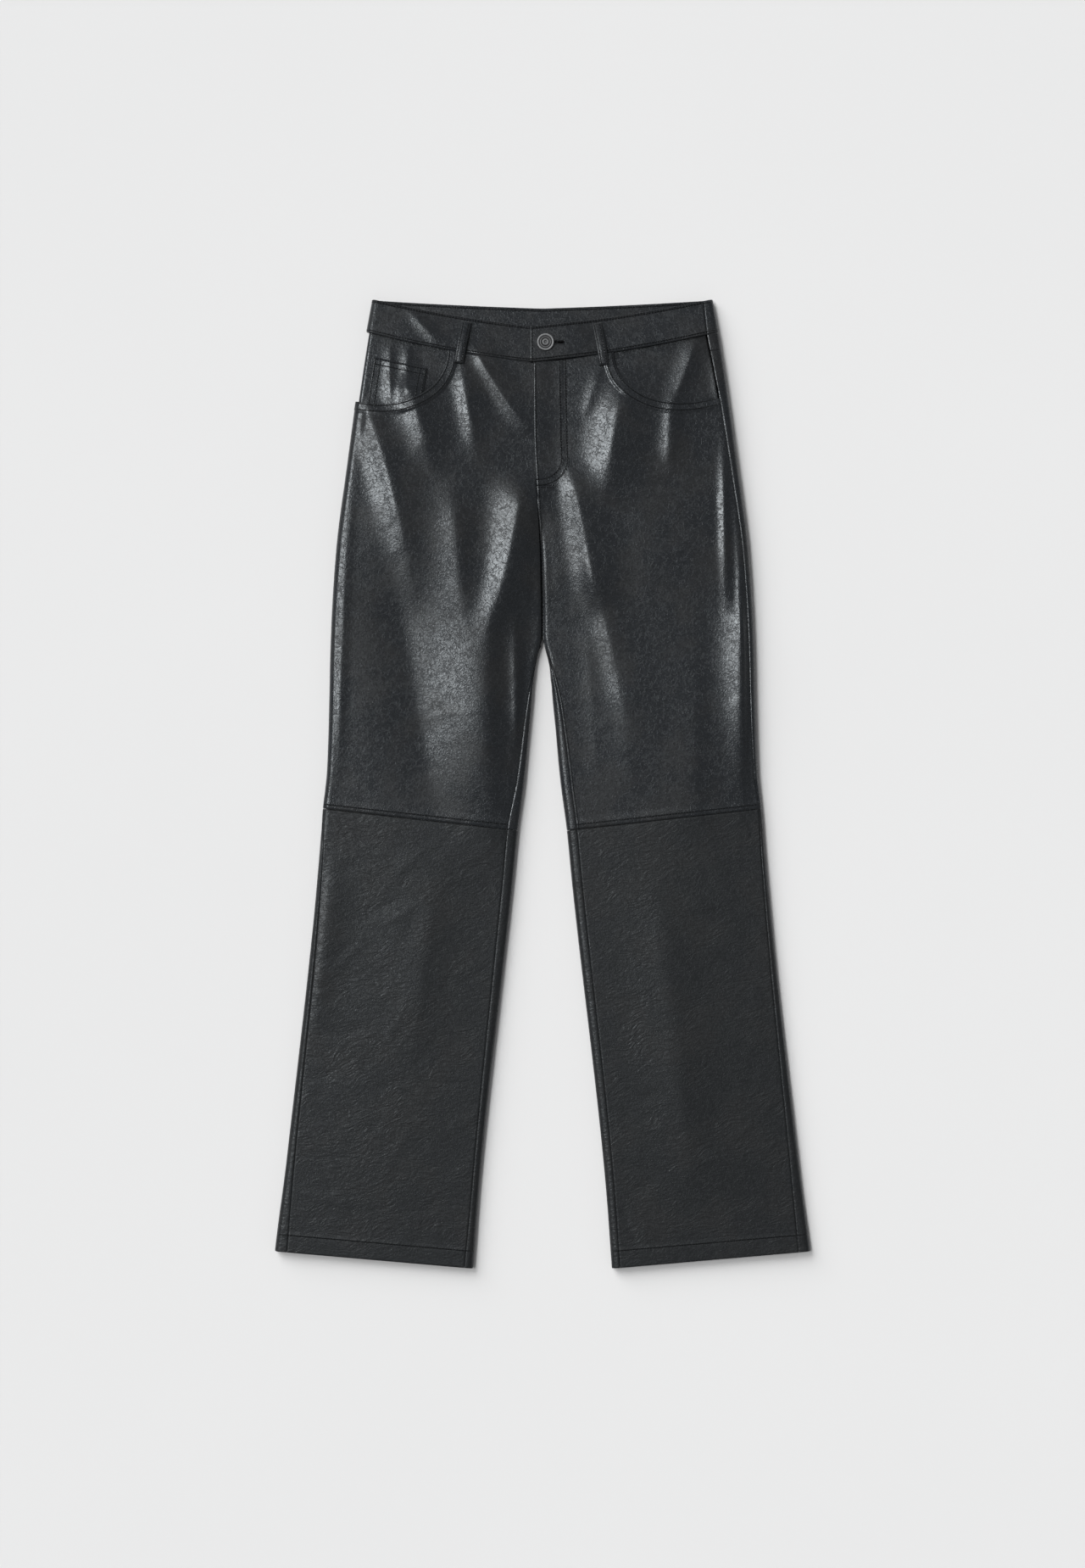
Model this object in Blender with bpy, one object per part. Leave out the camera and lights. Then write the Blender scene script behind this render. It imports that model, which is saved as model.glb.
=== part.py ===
"""Leather-look trousers, laid flat on their back: straight legs, scoop pockets, a buttoned waistband.

Every piece of cloth is a wall through the garment's cross lines. A cross line starts on the outer
fold of a leg, runs over the front to the leg's inner edge and comes back underneath. Sizes are in
millimetres. The waist points along +Y, and the wearer's right leg is on the -X side.
"""

import math
from typing import NamedTuple

import bmesh
import bpy
import numpy as np

MM = 0.001

# Cloth and clearances
CLOTH = 1.2
BAND_CLOTH = 2.4
LOOP_CLOTH = 2.0
COIN_CLOTH = 1.0
SEAM_GAP = 0.3
LAYER_GAP = 0.4
HEM_CLOTH = 2.0
HEM_TURN = 19.0
HEM_STEP = 1.5

# Levels of the cross lines, named by the height of their outer end
WAIST_TOP = 530.0
WAIST_SEAM = 494.0
CROTCH = 168.0
KNEE = -27.0
HEM = -511.0
YOKE_SIDE = 476.0
YOKE_CENTRE = 443.0
SEAT_LEVEL = 330.0
FORK_ROWS = (6.0, 14.0)

# Pocket mouths: a quarter ellipse below the waist seam
POCKET_FROM_FOLD = {"right": 91.0, "left": 117.0}
POCKET_WIDTH = {"right": 108.0, "left": 101.0}
POCKET_DEPTH = {"right": 79.0, "left": 71.0}
FACING_MARGIN = 15.0
FACING_INSET = 1.0
FACING_DEPTH = 3.4

# Coin pocket, on the right facing
COIN_TOP = 470.0
COIN_FOOT = 403.0
COIN_FROM_FOLD = 17.0
COIN_TO_FOLD = 76.0

# Fly and waistband laps
FLY_LAP = 8.0
FLY_LAP_END = 12.0
FLY_LAP_FOOT = 350.0
FLY_LIFT_FOOT = 326.0
LAP_FADE = 26.0
BAND_OVERLAP = 4.0
BAND_UNDERLAP = 28.0
BAND_LAP_FADE = 34.0

# Belt loops
LOOP_WIDTH = 11.0
LOOP_FROM_FOLD = {"right": 109.0, "left": 133.0}
LOOP_TOP = 525.5
LOOP_FOOT = 481.0

# Button and buttonhole
BUTTON_X = 3.3
BUTTON_Y = 482.3
BUTTON_R = 9.3
BUTTON_CLEARANCE = 0.9
POST_R = 2.0
EYE_R = 3.0
SLOT_HALF = 1.0
SLOT_END_X = 23.0

SIDES = {"right": -1.0, "left": 1.0}


class Section(NamedTuple):
    """One cross line: its ends from above, its two folds and the height of the front over it."""

    level: float  # height of the outer end
    outer_x: float  # outer fold, from the middle plane
    inner_x: float  # inner fold, from the centre line; 0 where the legs are joined
    front_y: float  # height of the front's inner end
    back_y: float  # height of the back's inner end
    centre_x: float  # centre line of the front
    outer_r: float  # radius of the outer fold
    inner_r: float  # radius of the inner fold
    inner_z: float  # top of the front before it rolls down to its inner end
    turn: float  # share of a quarter turn that it rolls
    crown: float  # swell of the front halfway across
    bow: float  # sag of the line from above


SECTIONS = (
    Section(530, 186.5, 0.0, 500, 521, -10.0, 5.5, 4.5, 10.0, 0.00, 0.0, 0.36),
    Section(494, 193.0, 0.0, 461, 483, -10.0, 6.5, 4.5, 12.0, 0.00, 0.6, 0.42),
    Section(415, 205.0, 0.0, 386, 400, -9.5, 7.0, 4.5, 13.0, 0.00, 1.2, 0.20),
    Section(345, 214.5, 0.0, 327, 337, -6.5, 7.0, 4.5, 13.0, 0.00, 1.8, 0.05),
    Section(255, 226.0, 0.0, 243, 250, -1.5, 7.0, 4.5, 12.0, 0.75, 2.0, 0.00),
    Section(168, 231.5, 0.0, 163, 165, 0.0, 6.5, 4.5, 9.0, 1.00, 2.0, 0.00),
    Section(135, 232.6, 6.8, 131, 131, 0.0, 6.5, 4.6, 9.2, 1.00, 2.0, 0.00),
    Section(90, 233.5, 11.6, 84, 84, 0.0, 6.5, 5.0, 10.0, 1.00, 1.8, 0.00),
    Section(15, 236.0, 19.5, 2, 2, 0.0, 6.0, 5.0, 10.0, 1.00, 1.5, 0.00),
    Section(-27, 240.5, 26.5, -51, -51, 0.0, 5.5, 5.0, 10.0, 1.00, 1.2, 0.00),
    Section(-79, 244.5, 31.5, -102, -102, 0.0, 5.2, 4.9, 9.8, 1.00, 1.0, 0.00),
    Section(-423, 282.0, 69.0, -443, -443, 0.0, 4.8, 4.7, 9.4, 1.00, 0.5, 0.00),
    Section(-511, 293.5, 75.5, -530, -530, 0.0, 4.7, 4.6, 9.2, 1.00, 0.0, 0.00),
)


class SeamPlace(NamedTuple):
    """Where the leg seams lie on a cross line, as cloth from the fold's edge, + on the front."""

    level: float
    side_right: float
    side_left: float
    inner_right: float
    inner_left: float


SEAMS = (
    SeamPlace(530, -15.0, 14.0, 0.0, 0.0),
    SeamPlace(494, -15.5, 17.0, 0.0, 0.0),
    SeamPlace(415, -15.0, 14.2, 0.0, 0.0),
    SeamPlace(300, -13.0, 11.8, 0.0, 0.0),
    SeamPlace(168, -10.7, 10.4, 0.0, 0.0),
    SeamPlace(90, -6.5, 9.9, 8.4, 10.8),
    SeamPlace(15, -2.0, 8.4, 11.3, 13.8),
    SeamPlace(-27, 2.5, 7.1, 14.3, 13.8),
    SeamPlace(-79, 6.8, 7.9, 14.2, 13.7),
    SeamPlace(-423, 12.3, 13.1, 10.7, 12.1),
    SeamPlace(-511, 16.6, 16.1, 12.5, 11.9),
)


class Fold(NamedTuple):
    """A soft ridge, or a trough where its height is below 0, along a bent line on the front."""

    name: str
    start: tuple
    end: tuple
    bend: float  # how far the middle of the line stands to its left, looking along it
    width: float
    height: float


FOLDS = (
    Fold("right_outer_thigh", (-190, 410), (-147, 205), 8, 12, 3.4),
    Fold("right_pocket_drag", (-124, 418), (-124, 328), 0, 13, 3.0),
    Fold("right_hip", (-88, 476), (-74, 352), 0, 11, 1.8),
    Fold("right_fly_drag", (-74, 500), (-16, 374), -6, 11, 1.8),
    Fold("right_inner_thigh", (-24, 346), (-70, 140), 3, 16, 5.2),
    Fold("right_leg_front", (-64, 240), (-58, -25), 0, 24, 5.6),
    Fold("left_hip", (98, 480), (63, 298), -4, 14, 4.6),
    Fold("left_inner_thigh", (26, 372), (51, 206), 7, 11, 3.4),
    Fold("left_thigh_branch", (48, 248), (95, 50), 4, 11, 2.8),
    Fold("left_leg_front", (96, 130), (93, -26), 0, 17, 2.8),
    Fold("left_pocket_drag", (142, 440), (138, 338), 0, 11, 2.2),
    Fold("left_facing_drag", (174, 502), (138, 408), 0, 11, 2.2),
    Fold("left_side_ridge", (207, 400), (214, 8), 0, 11, 3.0),
)
FOLD_END = 0.3
FOLD_FADE = 12.0
CURL_RUN = 12.0
ROLLED_UP = 1.57
DIFFERENCE = 0.05

# Columns kept beside the edges of a panel and of its folds
BEFORE_FOLD = 1.0
PAST_FOLD = 4.0
BEFORE_ROLL = 2.0
BESIDE_CENTRE = 12.0
BESIDE_BAND_END = 40.0

# Space that the cutters take beyond the cloth
CUT_BEYOND = 40.0
CUT_BELOW = -10.0
CUT_ABOVE = 50.0
BAND_CUT_ABOVE = 40.0


def monotone_through(at, places, values):
    """Values at the places asked, on a smooth curve through a table that never overshoots it."""
    steps = np.diff(places)
    rates = np.diff(values) / steps
    slopes = np.concatenate([rates[:1], np.zeros(len(rates) - 1), rates[-1:]])
    for i in range(1, len(rates)):
        if rates[i - 1] * rates[i] > 0:
            before = steps[i - 1] + 2 * steps[i]
            after = 2 * steps[i - 1] + steps[i]
            slopes[i] = (before + after) / (before / rates[i - 1] + after / rates[i])
    k = np.clip(np.searchsorted(places, at, side="right") - 1, 0, len(steps) - 1)
    t = (at - places[k]) / steps[k]
    rise = values[k] * (1 + 2 * t) * (1 - t) ** 2 + values[k + 1] * t**2 * (3 - 2 * t)
    lean = slopes[k] * t * (1 - t) ** 2 - slopes[k + 1] * t**2 * (1 - t)
    return rise + lean * steps[k]


def column(table, name, level):
    """A named column of a table at the given levels."""
    rows = sorted(table, key=lambda row: row.level)
    places = np.array([row.level for row in rows], float)
    values = np.array([getattr(row, name) for row in rows], float)
    return monotone_through(np.asarray(level, float), places, values)


def ease(t):
    """0 to 1 with soft ends."""
    t = np.clip(t, 0, 1)
    return t * t * (3 - 2 * t)


def relief(x, y):
    """Height of the folds at a place on the front."""
    total = np.zeros_like(x)
    for fold in FOLDS:
        start = np.array(fold.start, float)
        run = np.array(fold.end, float) - start
        length = np.hypot(*run)
        along = ((x - start[0]) * run[0] + (y - start[1]) * run[1]) / length**2
        across = ((x - start[0]) * -run[1] + (y - start[1]) * run[0]) / length
        across = across - fold.bend * 4 * along * (1 - along)
        ends = ease(along / FOLD_END) * ease((1 - along) / FOLD_END)
        total = total + fold.height * ends * np.exp(-((across / fold.width) ** 2))
    return total


def curl(level):
    """Share of a quarter turn by which the back rolls up at its inner end: none above the crotch."""
    return ease((CROTCH - level) / CURL_RUN)


class Line:
    """The cross lines of one leg at the given levels."""

    def __init__(self, side, level):
        sign = SIDES[side]
        self.sign = sign
        self.level = np.asarray(level, float)
        for name in Section._fields[1:]:
            setattr(self, name, column(SECTIONS, name, self.level))
        inner = sign * (self.inner_x + SEAM_GAP / 2)
        self.outer = sign * self.outer_x
        self.front_end = self.centre_x + inner
        self.back_end = inner
        self.front_run = np.hypot(self.front_end - self.outer, self.front_y - self.level)
        self.back_run = np.hypot(self.back_end - self.outer, self.back_y - self.level)
        self.front_roll = self.turn * math.pi / 2
        self.back_roll = curl(self.level) * math.pi / 2
        self.quarter = self.outer_r * math.pi / 2
        self.front_flat = self.front_run - self.outer_r - self.inner_r * np.sin(self.front_roll)
        self.back_flat = self.back_run - self.outer_r - self.inner_r * np.sin(self.back_roll)
        self.front_cloth = self.quarter + self.front_flat + self.inner_r * self.front_roll
        self.back_cloth = self.quarter + self.back_flat + self.inner_r * self.back_roll

    def over(self, arc):
        """Points on the front, by the cloth between them and the outer fold's edge."""
        angle = np.clip(arc / self.outer_r, 0, math.pi / 2)
        flat = np.clip(arc - self.quarter, 0, None)
        rolled = np.clip((flat - self.front_flat) / self.inner_r, 0, self.front_roll)
        beyond = np.clip(flat - self.front_flat - self.inner_r * self.front_roll, 0, None)
        share = np.clip(flat / self.front_flat, 0, 1)
        plan = self.outer_r * (1 - np.cos(angle)) + np.minimum(flat, self.front_flat)
        plan = plan + self.inner_r * np.sin(rolled) + beyond
        top = 2 * self.outer_r + (self.inner_z - 2 * self.outer_r) * ease(share)
        swell = self.crown * 16 * share**2 * (1 - share) ** 2
        height = top + swell - self.outer_r * (1 - np.sin(angle))
        height = height - self.inner_r * (1 - np.cos(rolled))
        x, y = self.plan_point(plan, self.front_run, self.front_end, self.front_y)
        inner_edge = ease((self.front_flat - flat) / FOLD_FADE)
        edge = ease(flat / FOLD_FADE) * (1 - self.turn + self.turn * inner_edge)
        return np.stack([x, y, height + edge * relief(x, y)], axis=-1)

    def under(self, arc):
        """Points on the back, by the cloth between them and the outer fold's edge."""
        angle = np.clip(arc / self.outer_r, 0, math.pi / 2)
        flat = np.clip(arc - self.quarter, 0, self.back_flat)
        rolled = np.clip((arc - self.quarter - self.back_flat) / self.inner_r, 0, self.back_roll)
        plan = self.outer_r * (1 - np.cos(angle)) + flat + self.inner_r * np.sin(rolled)
        height = self.outer_r * (1 - np.sin(angle)) + self.inner_r * (1 - np.cos(rolled))
        x, y = self.plan_point(plan, self.back_run, self.back_end, self.back_y)
        return np.stack([x, y, height], axis=-1)

    def plan_point(self, plan, run, end_x, end_y):
        """Place from above, a given way along a line that sags between its ends.

        A lap that runs on past the centre line rises again, as the other side's line does.
        """
        share = plan / run
        x = self.outer + (end_x - self.outer) * share
        folded = np.minimum(share, 2 - share)
        return x, self.level + (end_y - self.level) * (folded + self.bow * folded * (1 - folded))

    def point(self, arc):
        """Points by signed cloth: + over the front, - under the back and round the inner fold."""
        back = -arc
        wraps = (back > self.back_cloth) & (self.back_roll > ROLLED_UP)
        wrapped = self.over(self.front_cloth - (back - self.back_cloth))
        under = np.where(wraps[..., None], wrapped, self.under(back))
        return np.where((arc >= 0)[..., None], self.over(arc), under)


def surface(side, levels, arcs, lift):
    """Points and outward normals of a leg's surface, moved out by lift."""
    line = Line(side, levels)
    across = line.point(arcs + DIFFERENCE) - line.point(arcs - DIFFERENCE)
    above, below = Line(side, levels + DIFFERENCE), Line(side, levels - DIFFERENCE)
    along = above.point(arcs) - below.point(arcs)
    normal = np.cross(across, along) * -line.sign
    normal = normal / np.linalg.norm(normal, axis=-1, keepdims=True)
    return line.point(arcs) + normal * np.asarray(lift)[..., None], normal


def material(name, colour, roughness, metallic):
    """A plain finish in one colour."""
    made = bpy.data.materials.new(name)
    made.use_nodes = True
    shader = made.node_tree.nodes["Principled BSDF"]
    shader.inputs["Base Color"].default_value = (*colour, 1.0)
    shader.inputs["Roughness"].default_value = roughness
    shader.inputs["Metallic"].default_value = metallic
    return made


def leather(name):
    """The finish of one piece of cloth."""
    return material(name + "_leather", (0.028, 0.033, 0.036), 0.36, 0.0)


def add_object(name, bm, finish):
    """A closed mesh, in metres, as an object with its own finish."""
    bmesh.ops.recalc_face_normals(bm, faces=bm.faces[:])
    mesh = bpy.data.meshes.new(name)
    bm.to_mesh(mesh)
    bm.free()
    mesh.shade_smooth()
    mesh.set_sharp_from_angle(angle=math.radians(40))
    mesh.materials.append(finish)
    made = bpy.data.objects.new(name, mesh)
    bpy.context.scene.collection.objects.link(made)
    return made


def closed_wall(name, outer, inner):
    """A solid between two grids of points, with a rim all round."""
    bm = bmesh.new()
    sheets = []
    for grid in (outer, inner):
        sheets.append([[bm.verts.new(point * MM) for point in row] for row in grid])
    rows, columns = outer.shape[:2]
    for sheet in sheets:
        for i in range(rows - 1):
            for j in range(columns - 1):
                bm.faces.new((sheet[i][j], sheet[i][j + 1], sheet[i + 1][j + 1], sheet[i + 1][j]))
    border = [(0, j) for j in range(columns)]
    border += [(i, columns - 1) for i in range(1, rows)]
    border += [(rows - 1, j) for j in range(columns - 2, -1, -1)]
    border += [(i, 0) for i in range(rows - 2, 0, -1)]
    for (i, j), (k, m) in zip(border, border[1:] + border[:1]):
        bm.faces.new((sheets[0][i][j], sheets[0][k][m], sheets[1][k][m], sheets[1][i][j]))
    return add_object(name, bm, leather(name))


def wall(name, side, levels, arcs, thickness, lift=0.0):
    """Cloth through a grid of places: an outer face, an inner face one thickness in, and its rim."""
    lift = np.broadcast_to(lift, levels.shape)
    outer, normal = surface(side, levels, arcs, lift)
    inner = outer - normal * np.broadcast_to(thickness, levels.shape)[..., None]
    return closed_wall(name, outer, inner)


def across(knots, counts):
    """Rows of arcs through knots, given as one array for each, with so many columns between them."""
    parts = [knots[0][:, None]]
    for before, after, count in zip(knots, knots[1:], counts):
        steps = np.arange(1, count + 1) / count
        parts.append(before[:, None] + (after - before)[:, None] * steps)
    return np.concatenate(parts, axis=1)


def outer_fold_knots(side, levels, starts):
    """Arcs just before the outer fold's edge and just past its curve, for a front piece's columns."""
    fold_edge = np.maximum(starts + BEFORE_FOLD, 0)
    return fold_edge, np.maximum(starts + PAST_FOLD, Line(side, levels).quarter + BEFORE_FOLD)


def slanted(side_levels, centre_levels, arcs):
    """Levels that pass from a panel's side value to its centre value along each row."""
    share = (arcs - arcs[:, :1]) / (arcs[:, -1:] - arcs[:, :1])
    return side_levels[:, None] + (centre_levels - side_levels)[:, None] * share


def evenly(top, foot, count):
    """Levels from the top to the foot, with so many equal steps."""
    return np.linspace(top, foot, count + 1)


def front_end(side, levels, lap):
    """Arc at which a front panel ends: the centre line or, below the crotch, the inseam."""
    inseam = column(SEAMS, "inner_" + side, levels) + SEAM_GAP / 2 * curl(levels)
    return Line(side, levels).front_cloth - inseam + lap


def back_end(side, levels):
    """Arc at which a back panel ends: the seat seam or, round the inner fold, the inseam."""
    inseam = (column(SEAMS, "inner_" + side, levels) - SEAM_GAP / 2) * curl(levels)
    return -Line(side, levels).back_cloth - inseam


def back_arcs(side, starts, ends, side_levels, centre_levels, counts):
    """Arcs of a back piece, with columns on the edges of both folds and where they turn flat."""
    outer = Line(side, side_levels)
    inner = Line(side, centre_levels)
    fold_edge = np.minimum(starts - BEFORE_FOLD, 0)
    fold_foot = np.minimum(starts - PAST_FOLD, -outer.quarter - BEFORE_FOLD)
    roll_edge = np.maximum(ends + BEFORE_ROLL, -inner.back_cloth)
    roll_foot = roll_edge + inner.inner_r * math.pi / 2 + BEFORE_FOLD
    return across((starts, fold_edge, fold_foot, roll_foot, roll_edge, ends), counts)


def front_panel(name, side, levels, counts, thickness):
    """A front panel. The left one is lifted over the right one's lap along the fly."""
    lap = FLY_LAP * ease((levels - FLY_LAP_FOOT) / FLY_LAP_END) if side == "right" else 0.0
    starts = column(SEAMS, "side_" + side, levels) + SEAM_GAP / 2
    ends = front_end(side, levels, lap)
    folded = outer_fold_knots(side, levels, starts)
    arcs = across((starts, *folded, ends - BESIDE_CENTRE, ends), counts)
    lift = 0.0
    if side == "left":
        near = 1 - ease((ends[:, None] - arcs) / LAP_FADE)
        held = ease((levels - FLY_LIFT_FOOT) / FLY_LAP_END)
        lift = (CLOTH + LAYER_GAP) * near * held[:, None]
    grid = np.repeat(levels[:, None], arcs.shape[1], axis=1)
    return wall(name, side, grid, arcs, thickness, lift)


def back_panel(name, side, side_levels, centre_levels, counts, thickness):
    """A back panel, from the outseam round the outer fold and underneath to its inner end."""
    starts = column(SEAMS, "side_" + side, side_levels) - SEAM_GAP / 2
    ends = back_end(side, centre_levels)
    arcs = back_arcs(side, starts, ends, side_levels, centre_levels, counts)
    return wall(name, side, slanted(side_levels, centre_levels, arcs), arcs, thickness)


def hem_thickness(levels):
    """Wall of a shin panel by row: doubled by the turned-up hem."""
    return np.where(levels < HEM + HEM_TURN - 0.1, HEM_CLOTH, CLOTH)[:, None]


def thigh_rows():
    """Side levels of the yoke's rows and of the thigh's rows; they are closest at the crotch."""
    half_gap = SEAM_GAP / 2
    yoke = evenly(WAIST_SEAM - half_gap, YOKE_SIDE + half_gap, 2)
    seat = evenly(YOKE_SIDE - half_gap, CROTCH, 12)
    fork = CROTCH - np.array(FORK_ROWS)
    leg = evenly(fork[-1], KNEE + half_gap, 6)[1:]
    return yoke, np.concatenate([seat, fork, leg])


def shin_rows():
    """Side levels of the shin's rows, with the hem's turned-up edge as a small step."""
    plain = evenly(KNEE - SEAM_GAP / 2, HEM + HEM_TURN, 8)
    return np.concatenate([plain, [HEM + HEM_TURN - HEM_STEP, HEM]])


def make_legs(side):
    """The panels of one leg. Panels that share a seam share its rows, so that their edges match."""
    yoke, thigh = thigh_rows()
    shin = shin_rows()
    whole = np.concatenate([yoke[:-1], [YOKE_SIDE], thigh[1:]])
    front_fold, back_fold = ((2, 3), (1, 2)) if side == "right" else ((1, 1), (2, 3))
    panel = front_panel("front_thigh_" + side, side, whole, (*front_fold, 12, 3), CLOTH)
    cut_pocket_mouth(panel, side)
    front_panel("front_shin_" + side, side, shin, (1, 2, 8, 2), hem_thickness(shin))
    fall = (YOKE_SIDE - YOKE_CENTRE) * ease((WAIST_SEAM - yoke) / (WAIST_SEAM - YOKE_SIDE))
    back_panel("back_yoke_" + side, side, yoke, yoke - fall, (*back_fold, 4, 1, 1), CLOTH)
    fall = (YOKE_SIDE - YOKE_CENTRE) * ease((thigh - SEAT_LEVEL) / (YOKE_SIDE - SEAT_LEVEL))
    back_panel("back_thigh_" + side, side, thigh, thigh - fall, (*back_fold, 4, 3, 2), CLOTH)
    back_panel("back_shin_" + side, side, shin, shin, (2, 3, 4, 3, 2), hem_thickness(shin))


def prism(name, outline, low, high):
    """A hidden cutter: an outline from above, drawn out between two heights."""
    bm = bmesh.new()
    foot = [bm.verts.new((x * MM, y * MM, low * MM)) for x, y in outline]
    head = [bm.verts.new((x * MM, y * MM, high * MM)) for x, y in outline]
    bm.faces.new(foot)
    bm.faces.new(head)
    for i, corner in enumerate(foot):
        after = (i + 1) % len(foot)
        bm.faces.new((corner, foot[after], head[after], head[i]))
    cutter = add_object(name, bm, material(name, (0.5, 0.5, 0.5), 0.5, 0.0))
    cutter.hide_render = True
    cutter.display_type = "WIRE"
    return cutter


def cut(piece, cutter):
    """Takes the cutter's space out of a piece."""
    modifier = piece.modifiers.new("cut", "BOOLEAN")
    modifier.operation = "DIFFERENCE"
    modifier.solver = "EXACT"
    modifier.object = cutter


def cut_pocket_mouth(panel, side):
    """Cuts the scoop from the waist seam, down a quarter ellipse and out past the outer fold."""
    sign = SIDES[side]
    line = Line(side, np.array(WAIST_SEAM))
    start = POCKET_FROM_FOLD[side]
    outline = []
    for angle in np.radians(np.linspace(0, 90, 13)):
        plan = start - POCKET_WIDTH[side] * (1 - math.cos(angle))
        reach = max(plan, 0.0)
        x, y = line.plan_point(reach, line.front_run, line.front_end, line.front_y)
        x = x + sign * (reach - plan)
        outline.append((float(x), float(y) - POCKET_DEPTH[side] * math.sin(angle)))
    beyond = sign * (float(line.outer_x) + CUT_BEYOND)
    outline += [(beyond, outline[-1][1]), (beyond, WAIST_TOP), (outline[0][0], WAIST_TOP)]
    cut(panel, prism("pocket_mouth_" + side, outline, CUT_BELOW, CUT_ABOVE))


def make_facings():
    """The cloth seen in the pocket mouths, under the front panels and the waistband."""
    for side in SIDES:
        levels = evenly(WAIST_SEAM + 5, WAIST_SEAM - POCKET_DEPTH[side] - FACING_MARGIN, 6)
        starts = column(SEAMS, "side_" + side, levels) + FACING_INSET
        ends = np.full_like(starts, POCKET_FROM_FOLD[side] + FACING_MARGIN)
        arcs = across((starts, *outer_fold_knots(side, levels, starts), ends), (2, 3, 6))
        grid = np.repeat(levels[:, None], arcs.shape[1], axis=1)
        wall("pocket_facing_" + side, side, grid, arcs, COIN_CLOTH, -FACING_DEPTH)


def make_coin_pocket():
    """The small pocket, laid on the right facing and held under the scoop's edge."""
    levels = evenly(COIN_TOP, COIN_FOOT, 6)
    arcs = np.repeat(np.linspace(COIN_FROM_FOLD, COIN_TO_FOLD, 7)[None], len(levels), axis=0)
    grid = np.repeat(levels[:, None], arcs.shape[1], axis=1)
    lift = COIN_CLOTH + 2 * LAYER_GAP - FACING_DEPTH
    wall("coin_pocket", "right", grid, arcs, COIN_CLOTH, lift)


def make_waistband():
    """The two front bands: the left one laps over the right one's underlap."""
    levels = evenly(WAIST_TOP, WAIST_SEAM + SEAM_GAP / 2, 3)
    for side in SIDES:
        lap = BAND_UNDERLAP if side == "right" else BAND_OVERLAP
        starts = column(SEAMS, "side_" + side, levels) + SEAM_GAP / 2
        ends = front_end(side, levels, lap)
        folded = outer_fold_knots(side, levels, starts)
        arcs = across((starts, *folded, ends - BESIDE_BAND_END, ends), (2, 3, 7, 4))
        grid = np.repeat(levels[:, None], arcs.shape[1], axis=1)
        lift = 0.0
        if side == "left":
            held = ends[:, None] - BAND_UNDERLAP - BAND_OVERLAP
            lift = (BAND_CLOTH + LAYER_GAP) * (1 - ease((held - arcs) / BAND_LAP_FADE))
        band = wall("waistband_front_" + side, side, grid, arcs, BAND_CLOTH, lift)
        if side == "left":
            cut_buttonhole(band)


def make_back_waistband():
    """One strip right round the back, from side seam to side seam."""
    levels = evenly(WAIST_TOP, WAIST_SEAM + SEAM_GAP / 2, 3)
    halves = []
    for side in SIDES:
        starts = column(SEAMS, "side_" + side, levels) - SEAM_GAP / 2
        ends = -Line(side, levels).back_cloth
        arcs = back_arcs(side, starts, ends, levels, levels, (2, 3, 6, 1, 1))
        grid = np.repeat(levels[:, None], arcs.shape[1], axis=1)
        points, normal = surface(side, grid, arcs, 0.0)
        halves.append((points, points - normal * BAND_CLOTH))
    grids = []
    for right, left in zip(*halves):
        right[:, -1, 0] = 0.0
        grids.append(np.concatenate([right, left[:, -2::-1]], axis=1))
    return closed_wall("waistband_back", *grids)


def keyhole():
    """Outline of the buttonhole: a round eye at the button and a slot away from the band's end."""
    outline = []
    opening = math.asin(SLOT_HALF / EYE_R)
    for angle in np.linspace(opening, 2 * math.pi - opening, 15):
        outline.append((BUTTON_X + EYE_R * math.cos(angle), BUTTON_Y + EYE_R * math.sin(angle)))
    outline += [(SLOT_END_X, BUTTON_Y - SLOT_HALF), (SLOT_END_X, BUTTON_Y + SLOT_HALF)]
    return outline


def cut_buttonhole(band):
    """Cuts the keyhole through the left band."""
    cut(band, prism("buttonhole", keyhole(), 0, BAND_CUT_ABOVE))


def make_belt_loops():
    """The two front loops, laid over the waistband and on to the front panels."""
    levels = evenly(LOOP_TOP, LOOP_FOOT, 5)
    for side in SIDES:
        middle = LOOP_FROM_FOLD[side]
        arcs = np.linspace(middle - LOOP_WIDTH / 2, middle + LOOP_WIDTH / 2, 3)
        arcs = np.repeat(arcs[None], len(levels), axis=0)
        grid = np.repeat(levels[:, None], arcs.shape[1], axis=1)
        wall("belt_loop_" + side, side, grid, arcs, LOOP_CLOTH, LOOP_CLOTH + LAYER_GAP)


def front_height(side, x, y):
    """Height of the front's surface over a place."""
    level = y
    for _ in range(30):
        line = Line(side, np.array(level))
        share = (x - line.outer) / (line.front_end - line.outer)
        reached = line.plan_point(share * line.front_run, line.front_run, line.front_end, line.front_y)
        level = float(level + y - reached[1])
    arc = share * line.front_run + line.quarter - line.outer_r
    return float(Line(side, np.array(level)).over(arc)[..., 2])


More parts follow.
